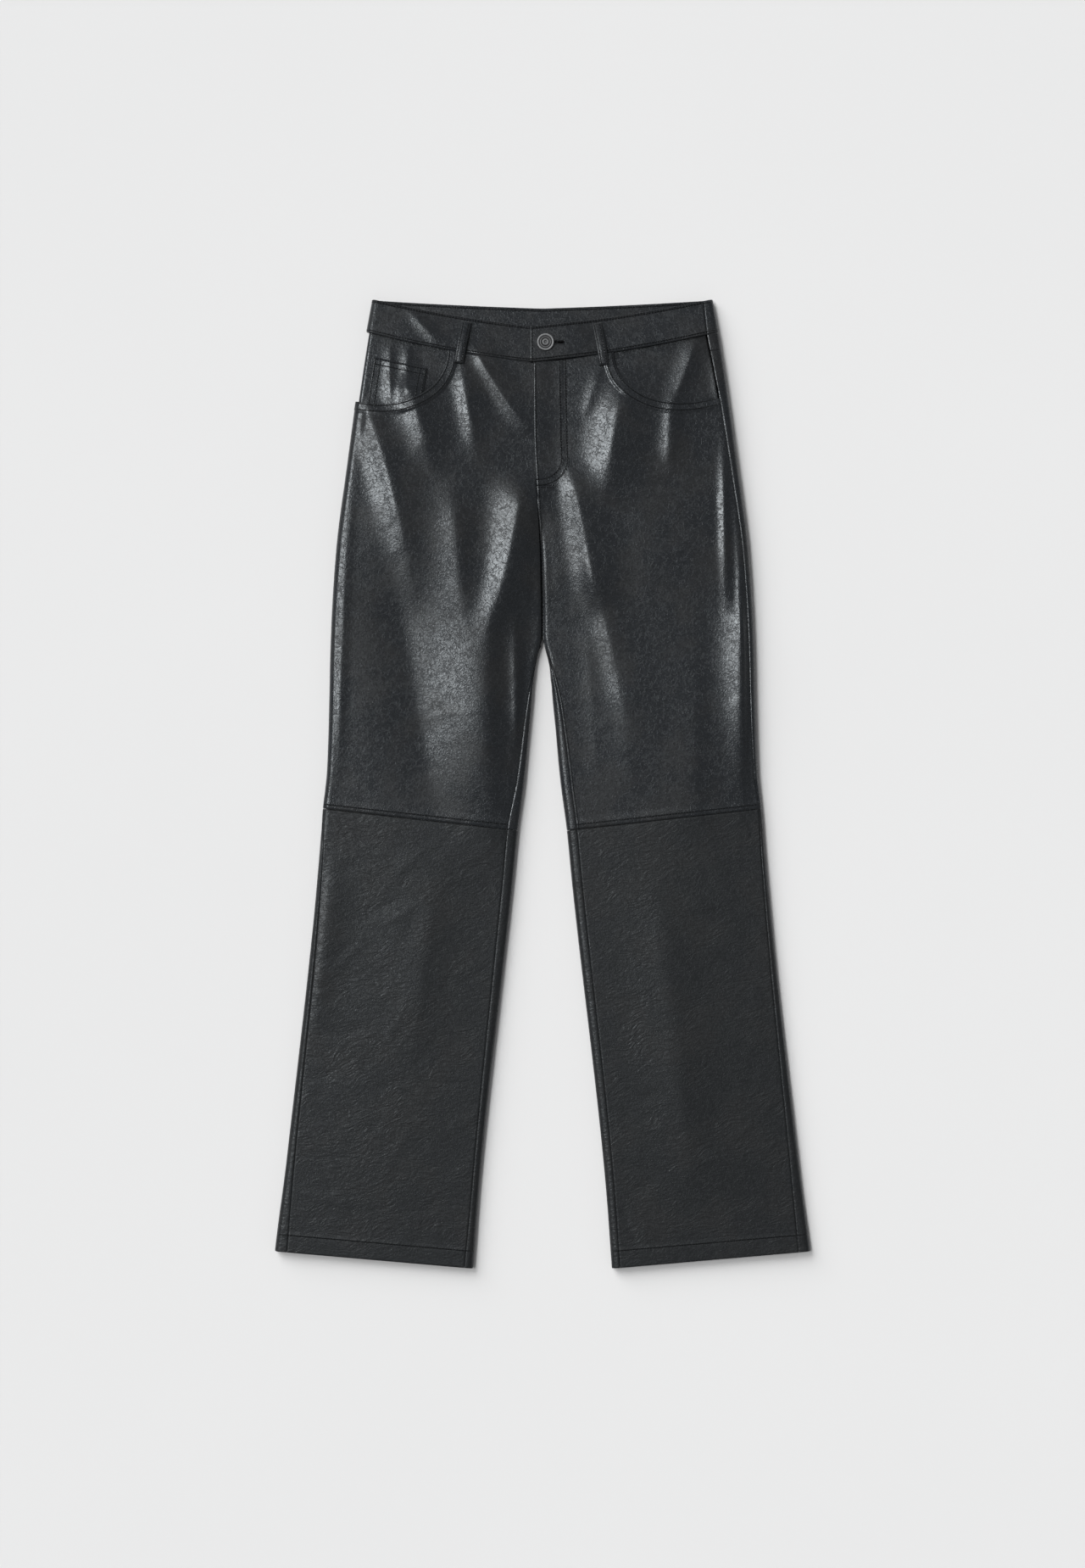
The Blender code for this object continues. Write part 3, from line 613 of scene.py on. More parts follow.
@dataclass(frozen=True)
class Leather:
    """Coated faux leather: fine pebble grain, crackle in the gloss and short slanted creases, with painted shade
    that darkens its colour along the sewn lines.

    Heights are in millimetres, and scales are features to the millimetre.
    """

    name: str
    lines: tuple[SeamLine, ...] = ()
    colour: tuple[float, float, float] = (0.0124, 0.0137, 0.0157)
    brown: tuple[float, float, float] = (0.0148, 0.0151, 0.0160)
    roughness: float = 0.23
    pebble: float = 0.03
    pebble_scale: float = 0.3
    crackle: float = 0.06
    crackle_sets: tuple[tuple[float, float], ...] = ((0.075, 0.0), (0.1, 400.0))  # scale and shift
    crackle_half: float = 0.02  # half-width of a wrinkle, as a noise height
    mottling: float = 0.095
    mottling_scale: float = 0.42
    pores: float = 0.006
    pores_scale: float = 1.4
    patch_scale: float = 0.022
    drift: float = 6.0  # how far the grain's rows wander
    drift_scale: float = 0.2
    crease: float = 0.02
    crease_sets: tuple[tuple[float, ...], ...] = (
        (14.0, 11.0, 3.6, 1.0), (-16.0, 15.0, 4.6, 0.8),
    )  # slant in degrees, length, thickness and share  # fmt: skip
    crease_swing: float = 26.0
    line_half: float = 0.75
    ior: float = 1.5
    specular: float = 0.46
    specular_tint: tuple[float, float, float, float] = (0.9, 0.965, 1.0, 1.0)
    coat: float = 0.08
    coat_roughness: float = 0.22

    def material(self) -> bpy.types.Material:
        """Wires the leather up.

        Returns:
            The material.
        """
        made, wiring, shader = blank_material(self.name)
        place = wiring.add("TexCoord").outputs["Object"]
        place = wiring.add("VectorMath", {0: place, "Scale": 1 / MM}, operation="SCALE").outputs[0]
        drift = wiring.add("TexNoise", {"Vector": place, "Scale": self.drift_scale, "Detail": 2.0}).outputs["Color"]
        drift = wiring.add("VectorMath", {0: drift, 1: (0.5, 0.5, 0.5)}, operation="SUBTRACT").outputs[0]
        drift = wiring.add("VectorMath", {0: drift, "Scale": self.drift}, operation="SCALE").outputs[0]
        bent = wiring.add("VectorMath", {0: place, 1: drift}, operation="ADD").outputs[0]
        patches = wiring.noise(place, self.patch_scale, 3.0)
        mottle = wiring.noise(place, self.mottling_scale, 2.0)
        grain = wiring.ramp(wiring.cells(bent, self.pebble_scale), 0.0, 0.2, 0.0, 1.0)
        crackle = wiring.ramp(self.wrinkles(wiring, bent), 0.0, self.crackle_half, 0.0, 1.0)
        fine = wiring.noise(place, self.pores_scale, 2.0)
        height = wiring.math("MULTIPLY", grain, self.pebble)
        height = wiring.math("ADD", height, wiring.math("MULTIPLY", crackle, self.crackle))
        height = wiring.math("ADD", height, wiring.math("MULTIPLY", mottle, self.mottling))
        height = wiring.math("ADD", height, wiring.math("MULTIPLY", fine, self.pores))
        height = wiring.math("ADD", height, self.creases(wiring, place, patches))
        sewn = self.sewn(wiring)
        height = wiring.math("SUBTRACT", height, sewn)
        bump = wiring.add("Bump", {"Height": height, "Strength": 1.0, "Distance": MM})
        tint = wiring.ramp(patches, 0.42, 0.66, 0.0, 1.0)
        colour = wiring.add("Mix", {"Factor": tint}, data_type="RGBA")
        colour.inputs[6].default_value = (*self.colour, 1.0)
        colour.inputs[7].default_value = (*self.brown, 1.0)
        shade = wiring.ramp(wiring.math("ADD", wiring.math("MULTIPLY", grain, 0.5), mottle), 0.4, 1.2, 0.75, 1.2)
        # painted shade: the colour falls to 0.3 of itself in the dimples of the sewn lines
        shade = wiring.math("MULTIPLY", shade, wiring.ramp(sewn, 0.0, 0.3, 1.0, 0.3))
        toned = wiring.add("VectorMath", {0: colour.outputs[2], "Scale": shade}, operation="SCALE")
        rough = wiring.math("ADD", self.roughness, wiring.ramp(mottle, 0.35, 0.65, 0.06, -0.04))
        rough = wiring.math("ADD", rough, wiring.ramp(patches, 0.35, 0.7, -0.02, 0.05))
        rough = wiring.math("ADD", rough, wiring.ramp(crackle, 0.0, 1.0, 0.2, 0.0))
        wiring.tree.links.new(toned.outputs[0], shader.inputs["Base Color"])
        wiring.tree.links.new(rough, shader.inputs["Roughness"])
        wiring.tree.links.new(bump.outputs[0], shader.inputs["Normal"])
        shader.inputs["IOR"].default_value = self.ior
        shader.inputs["Specular IOR Level"].default_value = self.specular
        shader.inputs["Specular Tint"].default_value = self.specular_tint
        shader.inputs["Coat Weight"].default_value = self.coat
        shader.inputs["Coat Roughness"].default_value = self.coat_roughness
        return made

    def wrinkles(self, wiring: Wiring, place: object) -> bpy.types.NodeSocket:
        """How far a place is from the nearest fine wrinkle of the crossing sets.

        Args:
            wiring: The material's wiring.
            place: Places on the leather, in millimetres.

        Returns:
            The distance, as a noise height.
        """
        nearest: object = 1.0
        for scale, shift in self.crackle_sets:
            moved = wiring.add("VectorMath", {0: place, 1: (shift, shift, 0.0)}, operation="ADD").outputs[0]
            height = wiring.math("SUBTRACT", wiring.noise(moved, scale, 3.0, 0.4), 0.5)
            nearest = wiring.math("MINIMUM", nearest, wiring.math("ABSOLUTE", height))
        return nearest

    def creases(self, wiring: Wiring, place: object, patches: object) -> bpy.types.NodeSocket:
        """Height of the short wavy creases, which slant up to +X and come in patches.

        Args:
            wiring: The material's wiring.
            place: Places on the leather, in millimetres.
            patches: A slow noise, 0 to 1.

        Returns:
            The height in millimetres.
        """
        swing = wiring.add("TexNoise", {"Vector": place, "Scale": 0.03, "Detail": 1.0}).outputs["Color"]
        swing = wiring.add("VectorMath", {0: swing, "Scale": self.crease_swing}, operation="SCALE").outputs[0]
        swung = wiring.add("VectorMath", {0: place, 1: swing}, operation="ADD").outputs[0]
        total: object = 0.0
        for turn, length, thick, share in self.crease_sets:
            inputs = {"Vector": swung, "Angle": math.radians(-turn)}
            turned = wiring.add("VectorRotate", inputs, rotation_type="Z_AXIS").outputs[0]
            stretched = wiring.add("VectorMath", {0: turned, 1: (1 / length, 1 / thick, 0.1)}, operation="MULTIPLY")
            wave = wiring.noise(stretched.outputs[0], 1.0, 1.5, 0.9)
            wave = wiring.math("MULTIPLY", wiring.math("SUBTRACT", wave, 0.5), share)
            total = wiring.math("ADD", total, wave)
        depth = wiring.ramp(patches, 0.3, 0.6, 0.3, 1.0)
        return wiring.math("MULTIPLY", wiring.math("MULTIPLY", total, depth), self.crease)

    def sewn(self, wiring: Wiring) -> bpy.types.NodeSocket | float:
        """Works out the dimples along the sewn lines, whose depth also sets the painted shade in them.

        Args:
            wiring: The material's wiring.

        Returns:
            Their depth in millimetres.
        """
        total: object = 0.0
        for line in self.lines:
            measure = wiring.add("Attribute", attribute_name=line.measure).outputs["Fac"]
            off = wiring.math("ABSOLUTE", wiring.math("SUBTRACT", measure, line.at))
            total = wiring.math("ADD", total, wiring.ramp(off, 0.0, self.line_half, line.depth, 0.0))
        return wiring.math("ADD", total, 0.0)


@dataclass(frozen=True)
class Thread:
    """Black polyester topstitching thread, with a faint twist."""

    name: str = "topstitching_thread"
    colour: tuple[float, float, float] = (0.0050, 0.0054, 0.0060)
    twist_scale: float = 2600.0
    twist_depth: float = 0.0002
    tones: tuple[float, float] = (0.7, 1.6)
    roughness: tuple[float, float] = (0.75, 0.92)
    specular: float = 0.12

    def material(self) -> bpy.types.Material:
        """Wires the thread up.

        Returns:
            The material.
        """
        made, wiring, shader = blank_material(self.name)
        place = wiring.add("TexCoord").outputs["Object"]
        twist = wiring.noise(place, self.twist_scale, 2.0)
        tone = wiring.ramp(twist, 0.3, 0.7, *self.tones)
        colour = wiring.add("VectorMath", {0: self.colour, "Scale": tone}, operation="SCALE").outputs[0]
        bump = wiring.add("Bump", {"Height": twist, "Strength": 0.6, "Distance": self.twist_depth})
        wiring.tree.links.new(colour, shader.inputs["Base Color"])
        wiring.tree.links.new(bump.outputs[0], shader.inputs["Normal"])
        wiring.tree.links.new(wiring.ramp(twist, 0.2, 0.8, *self.roughness), shader.inputs["Roughness"])
        shader.inputs["Specular IOR Level"].default_value = self.specular
        return made


@dataclass(frozen=True)
class Gunmetal:
    """Dark plated metal, turned in fine rings, with painted highlights on the raised rings and painted shade in the
    grooves between them.
    """

    name: str = "button_gunmetal"
    centre: tuple[float, float] = BUTTON_CENTRE
    painted_shade_grey: float = 0.03
    bright: float = 0.26
    metallic: float = 0.6
    turning: float = 140.0  # fineness of the turned rings
    turning_depth: float = 0.00004
    specks_scale: float = 1500.0
    wear_scale: float = 700.0
    wear: tuple[float, float] = (0.85, 1.15)
    roughness: tuple[float, float] = (0.44, 0.56)
    reach: float = 10.0  # distance from the middle at the end of the colour ramp
    # painted light and shade: the colour ramp makes the raised rings lighter and the sunk grooves deeper grey
    painted_light_stops: tuple[tuple[float, float], ...] = (
        (0.0, 0.5), (1.1, 0.3), (1.5, 0.05), (1.9, 0.7), (3.3, 0.8), (3.9, 0.05), (4.7, 0.0),
        (5.2, 0.55), (5.9, 0.5), (6.3, 0.0), (6.9, 0.0), (7.4, 0.9), (8.8, 1.0), (9.3, 0.6),
    )  # distance from the middle, and share from dark to bright  # fmt: skip

    def material(self) -> bpy.types.Material:
        """Wires the metal up.

        Returns:
            The material.
        """
        made, wiring, shader = blank_material(self.name)
        place = wiring.add("TexCoord").outputs["Object"]
        middle = (self.centre[0] * MM, self.centre[1] * MM, 0.0)
        offset = wiring.add("VectorMath", {0: place, 1: middle}, operation="SUBTRACT").outputs[0]
        flat = wiring.add("VectorMath", {0: offset, 1: (1.0, 1.0, 0.0)}, operation="MULTIPLY").outputs[0]
        away = wiring.add("VectorMath", {0: flat}, operation="LENGTH").outputs["Value"]
        away = wiring.math("MULTIPLY", away, 1 / (self.reach * MM))
        ramp = wiring.add("ValToRGB", {0: away})
        elements = ramp.color_ramp.elements
        while len(elements) < len(self.painted_light_stops):
            elements.new(0.5)
        # painted highlights and painted shade, ring by ring from the middle out
        for element, (at, share) in zip(elements, self.painted_light_stops):
            grey = self.painted_shade_grey + (self.bright - self.painted_shade_grey) * share
            element.position = at / self.reach
            element.color = (grey * 0.98, grey, grey * 1.02, 1.0)
        specks = wiring.noise(place, self.specks_scale, 4.0)
        worn = wiring.ramp(wiring.noise(place, self.wear_scale, 3.0), 0.3, 0.7, *self.wear)
        colour = wiring.add("VectorMath", {0: ramp.outputs[0], "Scale": worn}, operation="SCALE").outputs[0]
        rings = wiring.math("SINE", wiring.math("MULTIPLY", away, self.turning))
        height = wiring.math("ADD", wiring.math("MULTIPLY", rings, 0.3), specks)
        bump = wiring.add("Bump", {"Height": height, "Strength": 0.4, "Distance": self.turning_depth})
        wiring.tree.links.new(colour, shader.inputs["Base Color"])
        wiring.tree.links.new(bump.outputs[0], shader.inputs["Normal"])
        wiring.tree.links.new(wiring.ramp(specks, 0.3, 0.7, *self.roughness), shader.inputs["Roughness"])
        shader.inputs["Metallic"].default_value = self.metallic
        return made


@dataclass(frozen=True)
class PaleFloor:
    """A plain pale grey ground."""

    name: str = "pale_floor"
    grey: float = 0.745
    roughness: float = 0.9
    specular: float = 0.1

    def material(self) -> bpy.types.Material:
        """Wires the floor up.

        Returns:
            The material.
        """
        made, wiring, shader = blank_material(self.name)
        place = wiring.add("TexCoord").outputs["Object"]
        tone = wiring.ramp(wiring.noise(place, 2.0, 2.0), 0.2, 0.8, self.grey * 0.995, self.grey * 1.005)
        wiring.tree.links.new(tone, shader.inputs["Base Color"])
        shader.inputs["Roughness"].default_value = self.roughness
        shader.inputs["Specular IOR Level"].default_value = self.specular
        return made


# ---------------------------------------------------------------- making meshes


def spaced(length: float, step: float) -> np.ndarray:
    """Distances from one edge to the other, closer together beside both edges.

    Args:
        length: Distance between the edges.
        step: Largest step.

    Returns:
        The distances, from 0 to the length.
    """
    near = np.array(EDGE_STEPS)
    middle = np.linspace(near[-1], length - near[-1], max(2, math.ceil((length - 2 * near[-1]) / step) + 1))
    return np.concatenate([near[:-1], middle, length - near[-2::-1]])


def stretched(starts: np.ndarray, ends: np.ndarray, step: float) -> np.ndarray:
    """Rows of arcs between two edges, closer together beside both.

    Args:
        starts: Arc of each row's first edge.
        ends: Arc of each row's last edge.
        step: Largest step.

    Returns:
        Arcs, one row for each level.
    """
    way = np.sign(ends[0] - starts[0])
    lengths = np.abs(ends - starts)
    near = np.array(EDGE_STEPS)
    count = max(2, math.ceil((lengths.max() - 2 * near[-1]) / step) + 1)
    share = np.linspace(0, 1, count)
    middle = near[-1] + (lengths - 2 * near[-1])[:, None] * share
    head = np.repeat(near[None, :-1], len(lengths), axis=0)
    tail = lengths[:, None] - near[None, -2::-1]
    return starts[:, None] + way * np.concatenate([head, middle, tail], axis=1)


def smooth_object(name: str, mesh: bpy.types.Mesh, finish: bpy.types.Material) -> bpy.types.Object:
    """Puts a mesh in the scene, shaded smooth except at its edges.

    Args:
        name: The piece's name.
        mesh: Its mesh.
        finish: Its material.

    Returns:
        The object, riding on the frame.
    """
    mesh.update()
    mesh.shade_smooth()
    mesh.set_sharp_from_angle(angle=SHARP)
    mesh.materials.append(finish)
    made = bpy.data.objects.new(name, mesh)
    bpy.context.scene.collection.objects.link(made)
    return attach(made, "root") or made


def wall_mesh(name: str, outer: np.ndarray, inner: np.ndarray, measures: dict) -> bpy.types.Mesh:
    """Joins two grids of points into a closed wall.

    Args:
        name: The mesh's name.
        outer: Points of the outer face, rows by columns.
        inner: Points of the inner face.
        measures: Vertex attributes over the grid, in millimetres, by name.

    Returns:
        The mesh, in metres.
    """
    rows, columns = outer.shape[:2]
    number = np.arange(rows * columns).reshape(rows, columns)
    quads = np.stack([number[:-1, :-1], number[:-1, 1:], number[1:, 1:], number[1:, :-1]], axis=-1)
    quads = quads.reshape(-1, 4)
    border = np.concatenate([number[0], number[1:, -1], number[-1, -2::-1], number[-2:0:-1, 0]])
    after = np.roll(border, -1)
    many = rows * columns
    rim = np.stack([after, border, border + many, after + many], axis=-1)
    faces = np.concatenate([quads, quads[:, ::-1] + many, rim])
    first = np.cross(outer[0, 1] - outer[0, 0], outer[1, 0] - outer[0, 0])
    if np.dot(first, outer[0, 0] - inner[0, 0]) > 0:
        faces = faces[:, ::-1]
    points = np.concatenate([outer.reshape(-1, 3), inner.reshape(-1, 3)]) * MM
    mesh = bpy.data.meshes.new(name)
    mesh.from_pydata(points.tolist(), [], faces.tolist())
    for measure, values in measures.items():
        layer = mesh.attributes.new(measure, "FLOAT", "POINT")
        both = np.concatenate([values.ravel(), values.ravel()]).astype(np.float32)
        layer.data.foreach_set("value", both)
    return mesh


@dataclass
class ClothPiece:
    """A piece of cloth on one leg's form, as a thin closed wall with soft edges.

    lift_of gives how far the cloth stands off the form, and measures_of the attributes that its
    sewn lines are measured by. Both take levels, arcs and points.
    """

    name: str
    side: Side
    levels: np.ndarray
    arcs: np.ndarray
    slot: Slot
    thickness: float = CLOTH
    lift_of: object = None
    measures_of: object = None
    soft_edge: float = 0.45
    rests_on: tuple[str, ...] = ()

    def edge_gaps(self) -> dict[str, np.ndarray]:
        """Measures the grid from its four edges.

        Returns:
            Distances in millimetres, by edge.
        """
        points = CrossLine(self.side, self.levels).point(self.arcs)
        across = np.linalg.norm(np.diff(points, axis=1), axis=-1)
        along = np.linalg.norm(np.diff(points, axis=0), axis=-1)
        start = np.pad(np.cumsum(across, axis=1), ((0, 0), (1, 0)))
        top = np.pad(np.cumsum(along, axis=0), ((1, 0), (0, 0)))
        return {"start": start, "end": start[:, -1:] - start, "top": top, "foot": top[-1:] - top}

    def lifts(self, levels: np.ndarray, arcs: np.ndarray, points: np.ndarray) -> np.ndarray:
        """How far the outer face stands off the form.

        Args:
            levels: Levels of the places.
            arcs: Their arcs.
            points: Their points on the form.

        Returns:
            Lifts in millimetres.
        """
        if self.lift_of is None:
            return np.zeros(np.shape(levels))
        return np.broadcast_to(self.lift_of(levels, arcs, points), np.shape(levels))

    def on(self, levels: np.ndarray, arcs: np.ndarray) -> tuple[np.ndarray, np.ndarray]:
        """Points and normals on the piece's outer face, for what is sewn to it."""
        points, normal = surface(self.side, levels, arcs)
        return points + normal * self.lifts(levels, arcs, points)[..., None], normal

    def build(self, finish: bpy.types.Material) -> bpy.types.Object:
        """Makes the piece, hides the frame part that it replaces, and logs its faces and how it was cut.

        Args:
            finish: Its leather.

        Returns:
            The object.
        """
        points, normal = surface(self.side, self.levels, self.arcs)
        lift = self.lifts(self.levels, self.arcs, points)
        gaps = self.edge_gaps()
        rounded = np.zeros_like(lift)
        for gap in gaps.values():
            rounded = np.maximum(rounded, self.soft_edge * (1 - ease(gap / EDGE_ROUND)))
        outer = points + normal * (lift - rounded)[..., None]
        inner = points + normal * (lift - self.thickness)[..., None]
        measures = {"from_" + edge: np.minimum(gap, FAR) for edge, gap in gaps.items()}
        if self.measures_of is not None:
            measures.update(self.measures_of(self.levels, self.arcs, points))
        made = smooth_object("sewn_" + self.name, wall_mesh(self.name, outer, inner, measures), finish)
        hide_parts(self.name)
        width = float(gaps["start"][:, -1].max()) * MM
        length = float(gaps["top"][-1].max()) * MM
        cells = np.cross(points[1:, :-1] - points[:-1, :-1], points[:-1, 1:] - points[:-1, :-1])
        area = float(np.linalg.norm(cells, axis=-1).sum()) * MM * MM
        area = min(area, width * length)
        log.info("%s: %d faces, cut %.0f x %.0f mm", made.name, len(made.data.polygons), width / MM, length / MM)
        return made


@dataclass
class Stitching:
    """Rows of topstitches, joined into one mesh."""

    name: str
    pitch: float = 3.1
    length: float = 2.6
    radius: float = 0.38
    proud: float = 0.02
    sides: int = 6
    shoulder: float = 0.72  # where the end starts to round, as a share of half the length
    tip: float = 0.35  # radius of the very end, as a share of the radius
    tip_sunk: float = 0.8  # how far the end dips, as a share of the radius
    paths: list = field(default_factory=list)

    def sew(self, points: np.ndarray, normals: np.ndarray) -> None:
        """Adds a row along points on the cloth, with the cloth's normals there."""
        self.paths.append((points, normals))

    def row(self, piece: ClothPiece, levels: np.ndarray, arcs: np.ndarray) -> None:
        """Adds a row on a piece along levels and arcs."""
        self.sew(*piece.on(np.asarray(levels, float), np.asarray(arcs, float)))

    def stitches(self) -> tuple[np.ndarray, np.ndarray, np.ndarray]:
        """Spaces the stitches out along the rows.

        Returns:
            Middles, directions and normals of all the stitches.
        """
        middles, ways, normals = [], [], []
        for points, outward in self.paths:
            steps = np.linalg.norm(np.diff(points, axis=0), axis=1)
            reached = np.concatenate([[0], np.cumsum(steps)])
            count = max(1, int(reached[-1] / self.pitch))
            at = (np.arange(count) + 0.5) * reached[-1] / count
            read = [
                np.stack([np.interp(at + shift, reached, points[:, k]) for k in range(3)], axis=1)
                for shift in (-self.length / 2, self.length / 2)
            ]
            way = read[1] - read[0]
            middles.append((read[0] + read[1]) / 2)
            ways.append(way / np.maximum(np.linalg.norm(way, axis=1, keepdims=True), TINY))
            normals.append(np.stack([np.interp(at, reached, outward[:, k]) for k in range(3)], axis=1))
        return np.concatenate(middles), np.concatenate(ways), np.concatenate(normals)

    def build(self, finish: bpy.types.Material) -> bpy.types.Object:
        """Makes all the stitches as one mesh of small rounded capsules.

        Args:
            finish: The thread.

        Returns:
            The object.
        """
        middle, way, normal = self.stitches()
        normal = normal - way * (normal * way).sum(axis=1, keepdims=True)
        normal = normal / np.linalg.norm(normal, axis=1, keepdims=True)
        beside = np.cross(way, normal)
        turns = np.arange(self.sides) * 2 * math.pi / self.sides
        half = self.length / 2
        bend = half * self.shoulder
        rings = ((-half, self.tip), (-bend, 1.0), (bend, 1.0), (half, self.tip))
        parts = []
        for at, share in rings:
            sunk = self.proud + (0.0 if share == 1.0 else -self.radius * self.tip_sunk)
            ring = (
                np.cos(turns)[None, :, None] * beside[:, None] + np.sin(turns)[None, :, None] * normal[:, None]
            ) * (self.radius * share)
            parts.append(middle[:, None] + way[:, None] * at + normal[:, None] * sunk + ring)
        points = np.concatenate(parts, axis=1)
        each = points.shape[1]
        faces = []
        for k in range(len(rings) - 1):
            for j in range(self.sides):
                a, b = k * self.sides + j, k * self.sides + (j + 1) % self.sides
                faces.append((a, b, b + self.sides, a + self.sides))
        quads = np.array(faces)[None] + (np.arange(len(middle)) * each)[:, None, None]
        caps = np.array([list(range(self.sides))[::-1], [each - self.sides + j for j in range(self.sides)]])
        caps = caps[None] + (np.arange(len(middle)) * each)[:, None, None]
        mesh = bpy.data.meshes.new(self.name)
        shapes = quads.reshape(-1, 4).tolist() + caps.reshape(-1, self.sides).tolist()
        mesh.from_pydata((points.reshape(-1, 3) * MM).tolist(), [], shapes)
        made = smooth_object(self.name, mesh, finish)
        log.info("%s: %d stitches", self.name, len(middle))
        return made


# ---------------------------------------------------------------- the pocket mouths


@dataclass(frozen=True)
class Scoop:
    """A pocket mouth: a quarter ellipse from the waist seam down and out to the side seam."""

    side: Side
    from_fold: float
    width: float
    depth: float
    step: float = 3.0

    def waist(self) -> CrossLine:
        """The waist seam's cross line."""
        return CrossLine(self.side, np.array(WAIST_SEAM))

    def edge(self) -> tuple[np.ndarray, np.ndarray]:
        """Works out the scoop's edge, from the waist seam to the side seam.

        Returns:
            Levels, which fall, and arcs of its points.
        """
        turns = np.radians(np.concatenate([[0.15, 0.4, 0.8, 1.6], np.linspace(3, 90, 56)]))
        plan = self.from_fold - self.width * (1 - np.cos(turns))
        down = self.depth * np.sin(turns)
        waist = self.waist()
        reach = np.maximum(plan, 0.05)
        x, y = waist.plan_point(reach, waist.front_run, waist.front_end, waist.front_y)
        levels, arcs = locate(self.side, x, y - down)
        arcs = np.where(plan < 0.05, plan * math.pi / 2, arcs)
        levels = np.minimum.accumulate(levels - 1e-3 * np.arange(len(levels)))
        seam = column(SEAMS, "side_" + self.side.word, levels) + SEAM_GAP / 2
        keep = arcs > seam + 0.5
        levels, arcs, seam = levels[keep], arcs[keep], seam[keep]
        more = max(1, math.ceil((arcs[-1] - seam[-1]) / self.step))
        beyond = np.arange(1, more + 1) / more
        levels = np.concatenate([levels, levels[-1] - 0.12 * np.arange(1, more + 1)])
        arcs = np.concatenate([arcs, arcs[-1] + (seam[-1] - arcs[-1]) * beyond])
        return levels, arcs

    def gap(self, points: np.ndarray) -> np.ndarray:
        """Distance of points on the front from the scoop's edge, + on the panel.

        Args:
            points: Points on the front.

        Returns:
            Distances in millimetres.
        """
        waist = self.waist()
        share = (points[..., 0] - waist.outer) / (waist.front_end - waist.outer)
        plan = share * waist.front_run
        level_y = waist.plan_point(plan, waist.front_run, waist.front_end, waist.front_y)[1]
        across = np.maximum(plan - (self.from_fold - self.width), 0) / self.width
        down = np.maximum(level_y - points[..., 1], 0) / self.depth
        reach = np.hypot(across, down)
        slope = np.hypot(across / self.width, down / self.depth) / np.maximum(reach, TINY)
        return (reach - 1) / np.maximum(slope, TINY)

    def offset(self, away: float) -> tuple[np.ndarray, np.ndarray]:
        """Follows the edge on the panel at a distance.

        Args:
            away: The distance.

        Returns:
            Levels and arcs of the line.
        """
        turns = np.radians(np.linspace(1.5, 90, 70))
        plan = self.from_fold - self.width + (self.width + away) * np.cos(turns)
        down = (self.depth + away) * np.sin(turns)
        waist = self.waist()
        seam = column(SEAMS, "side_" + self.side.word, np.array(WAIST_SEAM - self.depth))
        keep = (plan > max(float(seam), 0.0) + 2) & (down > 1.5)
        x, y = waist.plan_point(plan[keep], waist.front_run, waist.front_end, waist.front_y)
        return locate(self.side, x, y - down[keep])


SCOOPS = {
    Side.RIGHT: Scoop(Side.RIGHT, from_fold=91.0, width=108.0, depth=79.0),
    Side.LEFT: Scoop(Side.LEFT, from_fold=117.0, width=101.0, depth=71.0),
}


# ---------------------------------------------------------------- the legs


